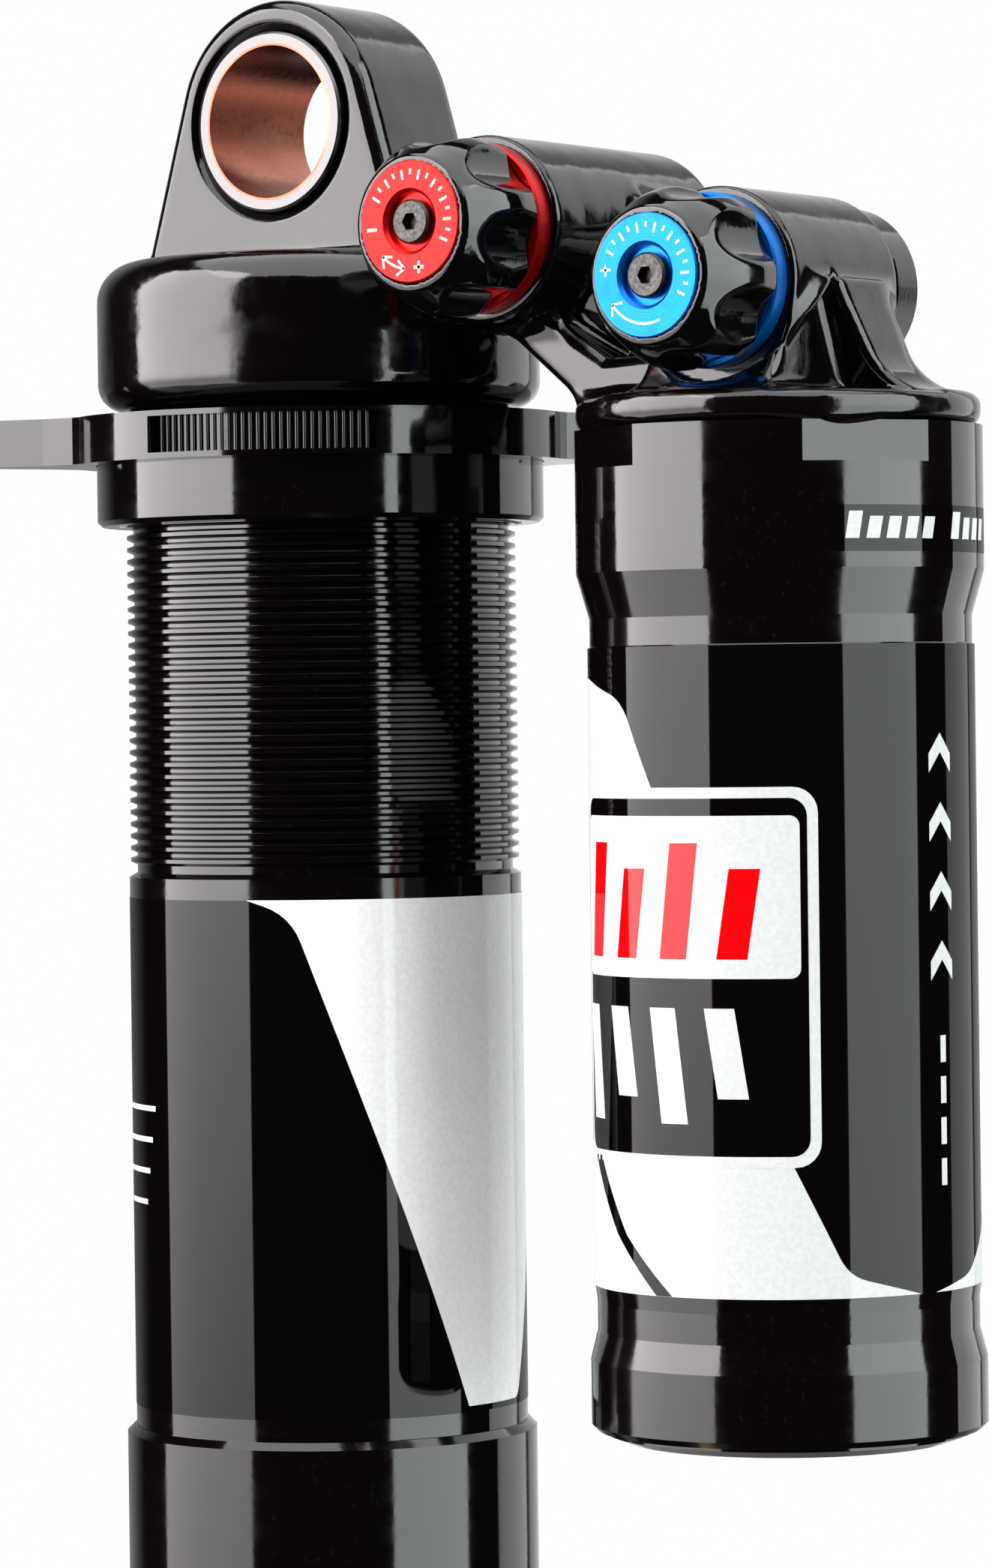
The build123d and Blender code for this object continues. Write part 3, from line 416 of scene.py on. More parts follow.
def anodised(name, colour, shade, centre):
    """Bright dyed aluminium turned on a lathe, with fine rings about its own axis."""
    material, tree, shader = new_material(name, colour, 0.3, metallic=0.82)
    shader.inputs["Anisotropic"].default_value = 0.75
    grooves = tree.nodes.new("ShaderNodeTangent")
    grooves.direction_type = "RADIAL"
    grooves.axis = "Y"
    tree.links.new(grooves.outputs["Tangent"], shader.inputs["Tangent"])
    rings = rings_about(tree, centre, 9000.0)
    patches = noise(tree, 500.0, 3.0)
    tint_by(tree, shader, spread(tree, rings, *NOISE_RANGE, 0.0, 1.0), shade, colour)
    roughness = arithmetic(tree, "ADD", spread(tree, rings, *NOISE_RANGE, 0.22, 0.34),
                           spread(tree, patches, 0.5, 0.8, 0.0, 0.12))
    tree.links.new(roughness, shader.inputs["Roughness"])
    add_bump(tree, shader, rings, 0.25, 0.00003)
    return material


def steel():
    """Dark mottled steel of the small screws, shims and spindles."""
    material, tree, shader = new_material("steel", (0.05, 0.049, 0.047), 0.42, metallic=1.0)
    mottle = noise(tree, 3600.0, 4.0)
    dark = (0.034, 0.033, 0.032)
    light = (0.06, 0.058, 0.056)
    tint_by(tree, shader, spread(tree, mottle, *NOISE_RANGE, 0.0, 1.0), dark, light)
    roughen_by(tree, shader, mottle, 0.5, 0.32)
    add_bump(tree, shader, mottle, 0.4, 0.00004)
    return material


def bushing_metal():
    """Steel shell outside, sintered bronze lining inside, told apart by the radius."""
    material, tree, shader = new_material("bronze", (0.3, 0.16, 0.12), 0.35, metallic=1.0)
    upper_bore = radius_from(tree, (0.0, 0.0, 0.0))
    lower_bore = radius_from(tree, (0.0, 0.0, LOWER_EYE_Z * MM))
    bore = arithmetic(tree, "MINIMUM", upper_bore, lower_bore)
    shell = spread(tree, bore, 0.00648, 0.00658, 0.0, 1.0)
    pores = noise(tree, 1700.0, 6.0)
    smears = noise(tree, 190.0, 4.0, stretch=(1.0, 0.35, 1.0))
    lining = mixed_colour(tree, pores, (0.25, 0.06, 0.033), (0.29, 0.08, 0.048))
    worn = mixed_colour(tree, spread(tree, smears, 0.45, 0.7, 0.0, 0.5), lining, (0.42, 0.2, 0.15))
    bright = mixed_colour(tree, pores, (0.09, 0.086, 0.085), (0.13, 0.125, 0.125))
    tint_by(tree, shader, shell, worn, bright)
    roughen_by(tree, shader, pores, 0.24, 0.34)
    add_bump(tree, shader, pores, 0.06, 0.00003)
    return material


def chromed():
    """Hard chrome polished along the shaft's rings."""
    material, tree, shader = new_material("chromed_steel", (0.72, 0.73, 0.75), 0.08, metallic=1.0)
    rings = noise(tree, 1400.0, 4.0, stretch=(0.05, 0.05, 1.0))
    roughen_by(tree, shader, rings, 0.05, 0.14)
    add_bump(tree, shader, rings, 0.1, 0.00003)
    return material


def machined(name, light, dark):
    """Plain machined metal with tool rings round the vertical axis."""
    material, tree, shader = new_material(name, light, 0.3, metallic=1.0)
    rings = noise(tree, 1100.0, 5.0, stretch=(0.06, 0.06, 1.0))
    tint_by(tree, shader, rings, dark, light)
    roughen_by(tree, shader, rings, 0.22, 0.4)
    add_bump(tree, shader, rings, 0.2, 0.00004)
    return material


def soft(name, light, dark, scale, depth, roughness):
    """Rubber, plastic or foam: matte, with pores of a given scale and depth."""
    material, tree, shader = new_material(name, light, roughness)
    pores = noise(tree, scale, 5.0)
    tint_by(tree, shader, spread(tree, pores, *NOISE_RANGE, 0.0, 1.0), dark, light)
    swing = 0.08
    roughen_by(tree, shader, pores, roughness - swing, roughness + swing)
    add_bump(tree, shader, pores, 0.5, depth)
    return material


def printed_film(name, colour):
    """Glossy printed film: a colour under clear plastic, with a faint weave of print dots."""
    material, tree, shader = new_material(name, colour, 0.35, coat=FILM_GLOSS)
    shader.inputs["Specular IOR Level"].default_value = 0.0
    dots = noise(tree, 2400.0, 2.0)
    drift = noise(tree, 45.0, 2.0, stretch=(1.0, 1.0, 0.2))
    darker = tuple(channel * FILM_DOT_SHADE for channel in colour)
    tint_by(tree, shader, spread(tree, dots, 0.4, 0.6, 0.0, 1.0), darker, colour)
    roughen_by(tree, shader, drift, 0.3, 0.4)
    add_bump(tree, shader, drift, 0.06, 0.0002)
    return material


def floor_material():
    """Pale matte studio floor with a very faint mottle."""
    material, tree, shader = new_material("pale_floor", (0.85, 0.85, 0.85), 0.6)
    mottle = noise(tree, 6.0, 4.0)
    tint_by(tree, shader, mottle, (0.8, 0.8, 0.8), (0.88, 0.88, 0.88))
    return material


def knob_centre(side):
    """Centre of a knob in metres, for rings turned about its own axis."""
    lowest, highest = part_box(f"{side}_knob")
    return ((lowest[0] + highest[0]) / 2, 0.0, (lowest[2] + highest[2]) / 2)


red = anodised("red_anodised", (0.52, 0.008, 0.006), (0.4, 0.003, 0.003), knob_centre("rebound"))
blue = anodised("blue_anodised", (0.0, 0.13, 0.48), (0.0, 0.08, 0.38), knob_centre("compression"))
SLOT_MATERIALS = {
    "cast_black": cast_black(),
    "black_anodised": black_anodised(),
    "gloss_black_knob": gloss_black_knob(),
    "red_anodised": red,
    "blue_anodised": blue,
    "steel": steel(),
    "chromed_steel": chromed(),
    "bronze": bushing_metal(),
    "brass": machined("brass", (0.75, 0.56, 0.24), (0.6, 0.42, 0.16)),
    "aluminium": machined("aluminium", (0.72, 0.72, 0.74), (0.55, 0.55, 0.57)),
    "rubber": soft("rubber", (0.02, 0.02, 0.02), (0.01, 0.01, 0.01), 1800.0, 0.00004, 0.6),
    "band_plastic": soft("band_plastic", (0.12, 0.1, 0.08), (0.08, 0.07, 0.06), 1800.0, 0.00004, 0.45),
    "bumper_foam": soft("bumper_foam", (0.72, 0.55, 0.2), (0.5, 0.36, 0.11), 1300.0, 0.0002, 0.75),
}
white_print = printed_film("white_print", (0.36, 0.37, 0.37))
# Painted light: a lighter copy of the white print for the body's wedge, standing in for the light that the
# reservoir's shadow keeps off it.
painted_lit_white_print = printed_film("painted_lit_white_print", (0.58, 0.59, 0.59))
black_print = printed_film("black_print", (0.001, 0.0007, 0.0008))
red_print = printed_film("red_print", (0.5, 0.001, 0.002))


def paint_nodes():
    """Give every CAD node the material of its slot in the record."""
    for part in frame["record"]["subparts"]:
        mesh = nodes[part["node"]].data
        mesh.materials.clear()
        mesh.materials.append(SLOT_MATERIALS[part["material_slot"]])


# ---------------------------------------------------------------- solids from distance fields, in mm
# Each shape is a function's result: the distance to its surface, negative inside.
FAR = 1e9  # beyond every edge
BAND_CELLS = 3  # cells on each side of the surface that keep their distance
SETTLING_PASSES = 3
NUDGE_SHARE = 0.05  # of a cell, to measure the field's slope
LEAST_STEEPNESS = 0.25  # keeps a pass from leaping where the field is nearly level
LONGEST_SHIFT = 0.4  # of a cell, in one pass


def joined(first, second, fillet):
    """Union of two shapes with a round fillet in the corner between them."""
    corner = np.hypot(np.maximum(fillet - first, 0), np.maximum(fillet - second, 0))
    return np.maximum(fillet, np.minimum(first, second)) - corner


def common(first, second, edge):
    """What two shapes share, with the edge between them rounded."""
    corner = np.hypot(np.maximum(edge + first, 0), np.maximum(edge + second, 0))
    return np.minimum(-edge, np.maximum(first, second)) + corner


def rounded_pair(sideways, lengthways, edge):
    """A profile swept along a line: the distance from its side and its end, with a round edge."""
    side = sideways + edge
    end = lengthways + edge
    return np.minimum(np.maximum(side, end), 0) + np.hypot(np.maximum(side, 0), np.maximum(end, 0)) - edge


def drum(reach, height, radius, bottom, top, edge):
    """A round drum; reach is the distance from its axis, and edge may be an array."""
    middle = (bottom + top) / 2
    return rounded_pair(reach - radius, np.abs(height - middle) - (top - bottom) / 2, edge)


def polygon_distance(across, up, corners):
    """Distance to a closed polygon in a plane."""
    nearest = np.full(across.shape, FAR, dtype=across.dtype)
    sign = np.ones(across.shape, dtype=across.dtype)
    for i, (x1, y1) in enumerate(corners):
        x0, y0 = corners[i - 1]
        edge_x, edge_y = x1 - x0, y1 - y0
        from_x, from_y = across - x0, up - y0
        share = np.clip((from_x * edge_x + from_y * edge_y) / (edge_x ** 2 + edge_y ** 2), 0, 1)
        gap = (from_x - edge_x * share) ** 2 + (from_y - edge_y * share) ** 2
        nearest = np.minimum(nearest, gap)
        above = up >= y0
        below_next = up < y1
        left = edge_x * from_y > edge_y * from_x
        crossing = (above & below_next & left) | (~above & ~below_next & ~left)
        sign = np.where(crossing, -sign, sign)
    return sign * np.sqrt(nearest)


def plate(x, y, z, corners, front, back, edge):
    """A flat plate in the XZ plane, from y = front to y = back, with round edges."""
    flat = polygon_distance(x, z, corners)
    return rounded_pair(flat, np.abs(y - (front + back) / 2) - (back - front) / 2, edge)


def mesh_from_field(name, field, low, high, step):
    """Mesh of a field's zero surface: cells of one step, then moved on to the exact surface."""
    low = np.array(low, dtype=np.float32)
    counts = np.ceil((np.array(high) - low) / step).astype(int) + 1
    axes = [low[i] + step * np.arange(counts[i], dtype=np.float32) for i in range(3)]
    values = field(*np.meshgrid(*axes, indexing="ij")).astype(np.float32)
    band = BAND_CELLS * step
    grid = openvdb.FloatGrid(background=band)
    grid.copyFromArray(np.clip(values, -band, band))
    points, quads = grid.convertToQuads(isovalue=0.0)
    points = low + step * points.astype(np.float32)
    nudge = NUDGE_SHARE * step
    for _ in range(SETTLING_PASSES):
        here = field(*points.T)
        slope = np.stack([
            (field(*(points + nudge * np.eye(3, dtype=np.float32)[i]).T) - here) / nudge for i in range(3)
        ], axis=1)
        steepness = np.maximum((slope ** 2).sum(axis=1), LEAST_STEEPNESS)
        shift = np.clip(here / steepness, -LONGEST_SHIFT * step, LONGEST_SHIFT * step)
        points = points - slope * shift[:, None]
    mesh = bpy.data.meshes.new(name)
    mesh.from_pydata((points * MM).tolist(), [], quads[:, ::-1].tolist())
    mesh.polygons.foreach_set("use_smooth", np.ones(len(quads), dtype=bool))
    mesh.update()
    return mesh


# ---------------------------------------------------------------- the head casting
CASTING_STEP = 0.28
CASTING_MARGIN = 1.0
REBOUND_BARREL_BACK = 14.0
PLUG_SEAT = 1.2  # how far the compression barrel reaches over its end plug
BARREL_MOUTH_EDGE_R = 0.4
BARREL_BACK_EDGE_R = {"rebound": 2.2, "compression": 0.9}
LUG_SINK = 1.0  # how far the lug reaches down into the puck
PEDESTAL_SINK = 1.5  # and the pedestal into the reservoir's cap
PEDESTAL_Y = -0.8
PEDESTAL_WAIST_Z = -16.0
PEDESTAL_HALF = (8.0, 7.0)
PEDESTAL_SLOPE = (0.268, 0.25)
PEDESTAL_CORNER_R = 4.0
POCKET_FLOOR = 6.3  # from the reservoir's axis, in both flanks of the pedestal
POCKET_FLOOR_R = 1.2
WEB_BACK = 7.5
WEB_WALL_FRONT = 1.0
WEB_EDGE_R = 1.0
RIM_FRONT = -6.1
# the web between puck and reservoir seen from the front: a thick lower rim and a wall behind it
RIM_OUTLINE = ((13, -15), (22.9, -17.9), (31.8, -25.2), (40, -25.2), (40, -21.0), (33.8, -21.2),
               (26.9, -16.5), (18.5, -12.2))
WALL_OUTLINE = ((15, -14), (24, -17.6), (32.2, -25), (45, -25), (45, -11), (31, -8), (24, -9))
POCKET_OUTLINE = ((-13.0, CAP_TOP + 0.05), (-0.1, CAP_TOP + 0.05), (-3.5, -15.8))  # seen from the side
# the rounded ridge that runs from one barrel to the other
RIDGE_START = (22, -13.5)
RIDGE_RUN = (20, -4.5)
RIDGE_Y = 0.5
RIDGE_R = 5.0
CAP_EDGE_R = 1.1
LUG_FILLET = 1.2
RIDGE_FILLET = 1.5
BRIDGE_FILLET = 1.6
FOOT_FILLET = 1.2
RIM_CAP_FILLET = 1.5
FOOT_CAP_FILLET = 3.4
POCKET_EDGE_R = 0.9
WALL_FILLET = 1.8
RIM_FILLET = 1.5
BORE_EDGE_R = 0.15
COUNTERSINK_DEPTH = 0.9
COUNTERSINK_WIDTH = 1.1
SOCKET_LAP = 0.6  # how far the casting laps over the body's wall
KNOB_CLEARANCE = 0.5


def barrel(x, y, z, side):
    """One adjuster barrel along Y, with a crisp mouth and a rounder back."""
    axis_x, axis_z, _ = middle_and_radius(f"{side}_knob_ring")
    mouth = span(f"{side}_knob_ring")[1][1]
    back = REBOUND_BARREL_BACK if side == "rebound" else span("barrel_end_plug")[0][1] + PLUG_SEAT
    edge = np.where(y < (mouth + back) / 2, np.float32(BARREL_MOUTH_EDGE_R),
                    np.float32(BARREL_BACK_EDGE_R[side]))
    return drum(np.hypot(x - axis_x, z - axis_z), y, BARREL_R, mouth, back, edge)


def lug(x, y, z):
    """The eyelet lug: a round end whose straight sides lean outwards down to the head."""
    aside = np.abs(x)
    along = z * math.cos(LUG_LEAN) - aside * math.sin(LUG_LEAN)
    flank = aside * math.cos(LUG_LEAN) + z * math.sin(LUG_LEAN) - LUG_R
    outline = np.where(along > 0, np.hypot(x, z) - LUG_R, flank)
    body = rounded_pair(outline, np.abs(y) - LUG_HALF, LUG_EDGE_R)
    return np.maximum(body, HEAD_TOP - LUG_SINK - z)


def pedestal(x, y, z):
    """The tapered foot under the compression barrel, pocketed in both flanks."""
    drop = PEDESTAL_WAIST_Z - z
    out_x = np.abs(x - RESERVOIR_X) - (PEDESTAL_HALF[0] + PEDESTAL_SLOPE[0] * drop) + PEDESTAL_CORNER_R
    out_y = np.abs(y - PEDESTAL_Y) - (PEDESTAL_HALF[1] + PEDESTAL_SLOPE[1] * drop) + PEDESTAL_CORNER_R
    section = np.minimum(np.maximum(out_x, out_y), 0)
    section = section + np.hypot(np.maximum(out_x, 0), np.maximum(out_y, 0)) - PEDESTAL_CORNER_R
    section = section * math.cos(math.atan(PEDESTAL_SLOPE[0]))
    return np.maximum(section, np.maximum(z - PEDESTAL_WAIST_Z, CAP_TOP - PEDESTAL_SINK - z))


def casting(x, y, z):
    """The whole head: lug, puck, two barrels, ridge, web, pedestal and reservoir cap."""
    reach = np.hypot(x, y)
    puck_edge = np.where(z > (HEAD_TOP + HEAD_BOTTOM) / 2, np.float32(HEAD_TOP_EDGE_R),
                         np.float32(HEAD_BOTTOM_EDGE_R))
    puck = drum(reach, z, HEAD_R, HEAD_BOTTOM, HEAD_TOP, puck_edge)
    shape = joined(lug(x, y, z), puck, LUG_FILLET)
    red_barrel = barrel(x, y, z, "rebound")
    blue_barrel = barrel(x, y, z, "compression")
    rim = plate(x, y, z, RIM_OUTLINE, RIM_FRONT, WEB_BACK, WEB_EDGE_R)
    wall = plate(x, y, z, WALL_OUTLINE, WEB_WALL_FRONT, WEB_BACK, WEB_EDGE_R)
    share = np.clip((x - RIDGE_START[0]) / RIDGE_RUN[0], 0, 1)
    off_x = x - RIDGE_START[0] - RIDGE_RUN[0] * share
    off_z = z - RIDGE_START[1] - RIDGE_RUN[1] * share
    ridge = np.sqrt(off_x ** 2 + (y - RIDGE_Y) ** 2 + off_z ** 2) - RIDGE_R
    shape = joined(shape, joined(red_barrel, ridge, RIDGE_FILLET), BRIDGE_FILLET)
    reservoir_reach = np.hypot(x - RESERVOIR_X, y)
    cap = drum(reservoir_reach, z, CAP_R, CAP_BOTTOM, CAP_TOP, CAP_EDGE_R)
    foot = joined(blue_barrel, pedestal(x, y, z), FOOT_FILLET)
    flank = np.abs(x - RESERVOIR_X)
    pocket = polygon_distance(y, z, POCKET_OUTLINE)
    pocket = rounded_pair(pocket, POCKET_FLOOR - flank, POCKET_FLOOR_R)
    foot = joined(foot, joined(cap, rim, RIM_CAP_FILLET), FOOT_CAP_FILLET)
    foot = common(foot, -pocket, POCKET_EDGE_R)
    shape = joined(shape, joined(foot, wall, WALL_FILLET), WALL_FILLET)
    shape = joined(shape, rim, RIM_FILLET)
    # eyelet bore with its countersinks, and the body's socket
    bore = np.hypot(x, z)
    shape = common(shape, BUSHING_R - bore, BORE_EDGE_R)
    countersink = np.maximum(bore - (BUSHING_R + COUNTERSINK_DEPTH) + (LUG_HALF - np.abs(y)),
                             bore - BUSHING_R - COUNTERSINK_WIDTH)
    shape = np.maximum(shape, -countersink / math.sqrt(2))
    shape = np.maximum(shape, -np.maximum(reach - (BODY_R - SOCKET_LAP), z - body_high[2]))
    # room for the knobs in front of their barrels
    for side in KNOB_NODES:
        axis_x, axis_z, radius = middle_and_radius(f"{side}_knob")
        mouth = span(f"{side}_knob_ring")[1][1]
        room = np.maximum(np.hypot(x - axis_x, z - axis_z) - radius - KNOB_CLEARANCE, y - mouth)
        shape = np.maximum(shape, -room)
    return shape


def add_casting():
    """The head as one smooth casting in place of the CAD node."""
    step = CASTING_STEP
    low = (head_low[0] - CASTING_MARGIN, head_low[1] - CASTING_MARGIN, CAP_BOTTOM - CASTING_MARGIN)
    mesh = mesh_from_field("head_casting", casting, low, head_high + CASTING_MARGIN, step)
    cast = new_object("head_casting", mesh, "damper", SLOT_MATERIALS["cast_black"])
    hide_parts("upper_head")


# ---------------------------------------------------------------- knobs
KNOB_FLUTES = 7
FLUTE_R = 4.2
FLUTE_FLOOR = (6.25, 6.15)  # radius of a flute's floor at the knob's back and near its front
FLUTE_TURN = {"rebound": 90.0, "compression": 76.0}
FLUTE_SHARE = 0.92  # of the knob's length, over which a flute's floor goes from one radius to the other
KNOB_BACK_R = 7.05
KNOB_RIM_R = 5.3
SWELL_SHARE = 0.5  # of the knob's length, over which it swells to its widest
NOSE_SHARE = 0.44  # of the knob's length, over which it narrows to its rim
KNOB_SHOULDER_R = 1.6
KNOB_EDGE_R = 0.3
WELL_DEPTH = 0.95  # of the recess that holds the disc
KNOB_STEP = 0.15
KNOB_MARGIN = 0.6


def knob_field(side):
    """Distance field of one knob, from the sizes of its CAD nodes."""
    axis_x, axis_z, widest = middle_and_radius(f"{side}_knob")
    knob_low, knob_high = span(f"{side}_knob")
    disc_r = middle_and_radius(f"{side}_knob_disc")[2]
    front, back = knob_low[1], knob_high[1]
    length = back - front
    turn = math.radians(FLUTE_TURN[side])
    pitch = 2 * math.pi / KNOB_FLUTES

    def field(x, y, z):
        reach = np.hypot(x - axis_x, z - axis_z)
        depth = back - y
        swell = reach - KNOB_BACK_R - (widest - KNOB_BACK_R) * depth / (SWELL_SHARE * length)
        nose_slope = (widest - KNOB_RIM_R) / (NOSE_SHARE * length)
        nose = (reach - KNOB_RIM_R - nose_slope * (length - depth)) / math.hypot(1, nose_slope)
        outside = common(swell, nose, KNOB_SHOULDER_R)
        solid = common(outside, np.abs(depth - length / 2) - length / 2, KNOB_EDGE_R)
        angle = np.arctan2(z - axis_z, x - axis_x) - turn
        folded = np.mod(angle + pitch / 2, pitch) - pitch / 2
        tilt = (FLUTE_FLOOR[0] - FLUTE_FLOOR[1]) / (FLUTE_SHARE * length)
        cut_r = FLUTE_R + FLUTE_FLOOR[0] - tilt * depth
        flute = np.hypot(reach * np.cos(folded) - cut_r, reach * np.sin(folded)) - FLUTE_R
        solid = common(solid, -flute, KNOB_EDGE_R)
        well = np.maximum(reach - disc_r, length - depth - WELL_DEPTH)
        return np.maximum(solid, -well)

    return field, knob_low, knob_high


def add_knobs():
    """Both knobs with scooped finger flutes, in place of their CAD nodes."""
    for side in KNOB_NODES:
        field, low, high = knob_field(side)
        step = KNOB_STEP
        mesh = mesh_from_field(f"{side}_knob_flutes", field, low - KNOB_MARGIN, high + KNOB_MARGIN, step)
        knob = new_object(f"{side}_knob_flutes", mesh, f"{side}_adjuster", SLOT_MATERIALS["gloss_black_knob"])
        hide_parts(f"{side}_knob")


# ---------------------------------------------------------------- printed films and graphics
FILM = 0.03  # how far each film stands off the metal, in mm
LAYER = 0.012  # how far one printed layer stands off the one below
DISC_FILM = 0.015  # how far the marks on the knobs' discs stand off them
HAIR = 0.02  # keeps a printed field's edge from lying on its film's edge
STRIP = 0.8  # widest piece of a film, so that it bends smoothly round its tube
CORNER_STEPS = 6
CDT_TOLERANCE = 1e-6


def polar(centre, radius, angle):
    """The point at an angle in degrees on a circle."""
    turn = math.radians(angle)
    return centre[0] + radius * math.cos(turn), centre[1] + radius * math.sin(turn)


def arc_points(centre, radius, start, end, count):
    """Points along a circular arc, angles in degrees."""
    return [polar(centre, radius, start + (end - start) * i / count) for i in range(count + 1)]


def rounded_box(left, bottom, right, top, radius):
    """Outline of a rectangle with round corners."""
    corners = (((right - radius, top - radius), 0), ((left + radius, top - radius), 90),
               ((left + radius, bottom + radius), 180), ((right - radius, bottom + radius), 270))
    return [
        point for centre, start in corners
        for point in arc_points(centre, radius, start, start + 90, CORNER_STEPS)
    ]


def softened(points, radii):
    """Round the corners of an outline; a radius of nought leaves a corner sharp."""
    result = []
    for i, radius in enumerate(radii):
        here = np.array(points[i], dtype=float)
        before = np.array(points[i - 1], dtype=float) - here
        after = np.array(points[(i + 1) % len(points)], dtype=float) - here
        if radius == 0:
            result.append(tuple(here))
            continue
        start = here + before / np.linalg.norm(before) * radius
        end = here + after / np.linalg.norm(after) * radius
        for share in np.linspace(0, 1, CORNER_STEPS + 1):
            result.append(tuple((1 - share) ** 2 * start + 2 * share * (1 - share) * here + share ** 2 * end))
    return result


def counter_clockwise(outline):
    """The outline itself, or reversed where it runs clockwise."""
    following = outline[1:] + outline[:1]
    doubled_area = sum(a[0] * b[1] - a[1] * b[0] for a, b in zip(outline, following))
    return outline if doubled_area > 0 else outline[::-1]


def wrapped(name, outlines, axis_x, radius, material):
    """Flat outlines of (distance round, height) laid on a cylinder about a vertical axis.

    The distance round is in mm at the surface, from the side that faces -Y towards +X.
    """
    points, edges, faces = [], [], []
    for outline in outlines:
        first = len(points)
        points += [Vector(point) for point in counter_clockwise(outline)]
        edges += [(first + i, first + (i + 1) % len(outline)) for i in range(len(outline))]
        faces.append(list(range(first, len(points))))
    left = min(point.x for point in points)
    right = max(point.x for point in points)
    bottom = min(point.y for point in points) - 1
    top = max(point.y for point in points) + 1
    across = left + STRIP / 2
    while across < right:
        first = len(points)
        points += [Vector((across, bottom)), Vector((across, top))]
        edges.append((first, first + 1))
        across += STRIP
    flat_points, _, flat_faces, _, _, inside = delaunay_2d_cdt(points, edges, faces, 0, CDT_TOLERANCE)
    flat_faces = [face for face, outline in zip(flat_faces, inside) if outline]
    lay_on(name, flat_points, flat_faces, axis_x, radius, material)


def lay_on(name, flat_points, flat_faces, axis_x, radius, material):
    """Bend flat points round a vertical cylinder and make a film of them that rides on the damper."""
    bent = []
    for point in flat_points:
        angle = point.x / radius
        bent.append((
            (axis_x + radius * math.sin(angle)) * MM,
            -radius * math.cos(angle) * MM,
            point.y * MM,
        ))
    mesh = bpy.data.meshes.new(name)
    mesh.from_pydata(bent, [], [list(face) for face in flat_faces])
    mesh.polygons.foreach_set("use_smooth", [True] * len(mesh.polygons))
    axis = Vector((axis_x * MM, 0.0, 0.0))
    shape = bmesh.new()
    shape.from_mesh(mesh)
    bmesh.ops.delete(shape, geom=[v for v in shape.verts if not v.link_faces], context="VERTS")
    for face in shape.faces:
        face.normal_update()
        if face.normal.dot((face.calc_center_median() - axis) * Vector((1.0, 1.0, 0.0))) < 0:
            face.normal_flip()
    shape.to_mesh(mesh)
    shape.free()
    flattened = [Vector((v.co.x - axis.x, v.co.y, 0.0)).normalized() for v in mesh.vertices]
    mesh.normals_split_custom_set_from_vertices(flattened)
    new_object(name, mesh, "damper", material)


def distance_round(azimuth, radius):
    """Distance along a cylinder's surface to an azimuth in degrees."""
    return math.radians(azimuth) * radius


def degrees_round(radius, outline):
    """Outline given as (azimuth in degrees, height), with the azimuth turned into distance round."""
    return [(distance_round(azimuth, radius), height) for azimuth, height in outline]


def slanted_bar(left, bottom, width, height, lean):
    """A parallelogram bar."""
    return [(left, bottom), (left + width, bottom), (left + width + lean, bottom + height),
            (left + lean, bottom + height)]


BODY_FILM = (-107.1, -64.6)
BODY_LINES = 4
RESERVOIR_FILM = (-95.1, -44.5)
WAIST_R = 15.37
BADGE_SIDES = (-50, 44)  # azimuths in degrees
BADGE_ENDS = (-84.9, -55.5)
BADGE_FRAME = 0.85
PANEL_SIDES = (-47, 38.7)
PANEL_ENDS = (-70.3, -57.7)
BADGE_BAR_HEIGHTS = (9.0, 7.0, 9.0, 7.0)
LABEL_SIDES = (47, 118)
LABEL_ENDS = (-37.4, -33.8)


def black_sleeve(name, axis_x, radius, heights):
    """A black film all round a tube, from its lower height to its upper one."""
    half_way = math.pi * radius
    low, high = heights
    around = [(-half_way, low), (half_way, low), (half_way, high), (-half_way, high)]
    wrapped(name, [around], axis_x, radius, black_print)


def add_body_film():
    """A black film all round the body, with a white wedge on the reservoir's side; the wedge's white is
    painted lighter than the other white print, as painted light in place of the light that the reservoir's
    shadow keeps off it.
    """
    radius = BODY_R + FILM
    low, high = BODY_FILM
    black_sleeve("body_film", 0.0, radius, BODY_FILM)
    wedge = [(15.0, high + HAIR), (28.0, high - 1.2), (81.2, low + 0.5), (107.5, low + 0.5),
             (162.0, high + HAIR)]
    outline = softened(degrees_round(radius, wedge), [0, 2.4, 0, 0.8, 0])
    # The wedge takes the lighter copy of the white print: painted light where the reservoir shades the body.
    wrapped("body_white_wedge", [outline], 0.0, radius + LAYER, painted_lit_white_print)
    top, pitch, thick = -82.2, 2.6, 0.45
    lines = []
    for row in range(BODY_LINES):
        start = distance_round(-58 + 4 * row, radius)
        end = distance_round(-22 - 2 * row, radius)
        lines.append(slanted_bar(start, top - pitch * row, end - start, thick, 0.0))
    wrapped("body_fine_lines", lines, 0.0, radius + LAYER, white_print)


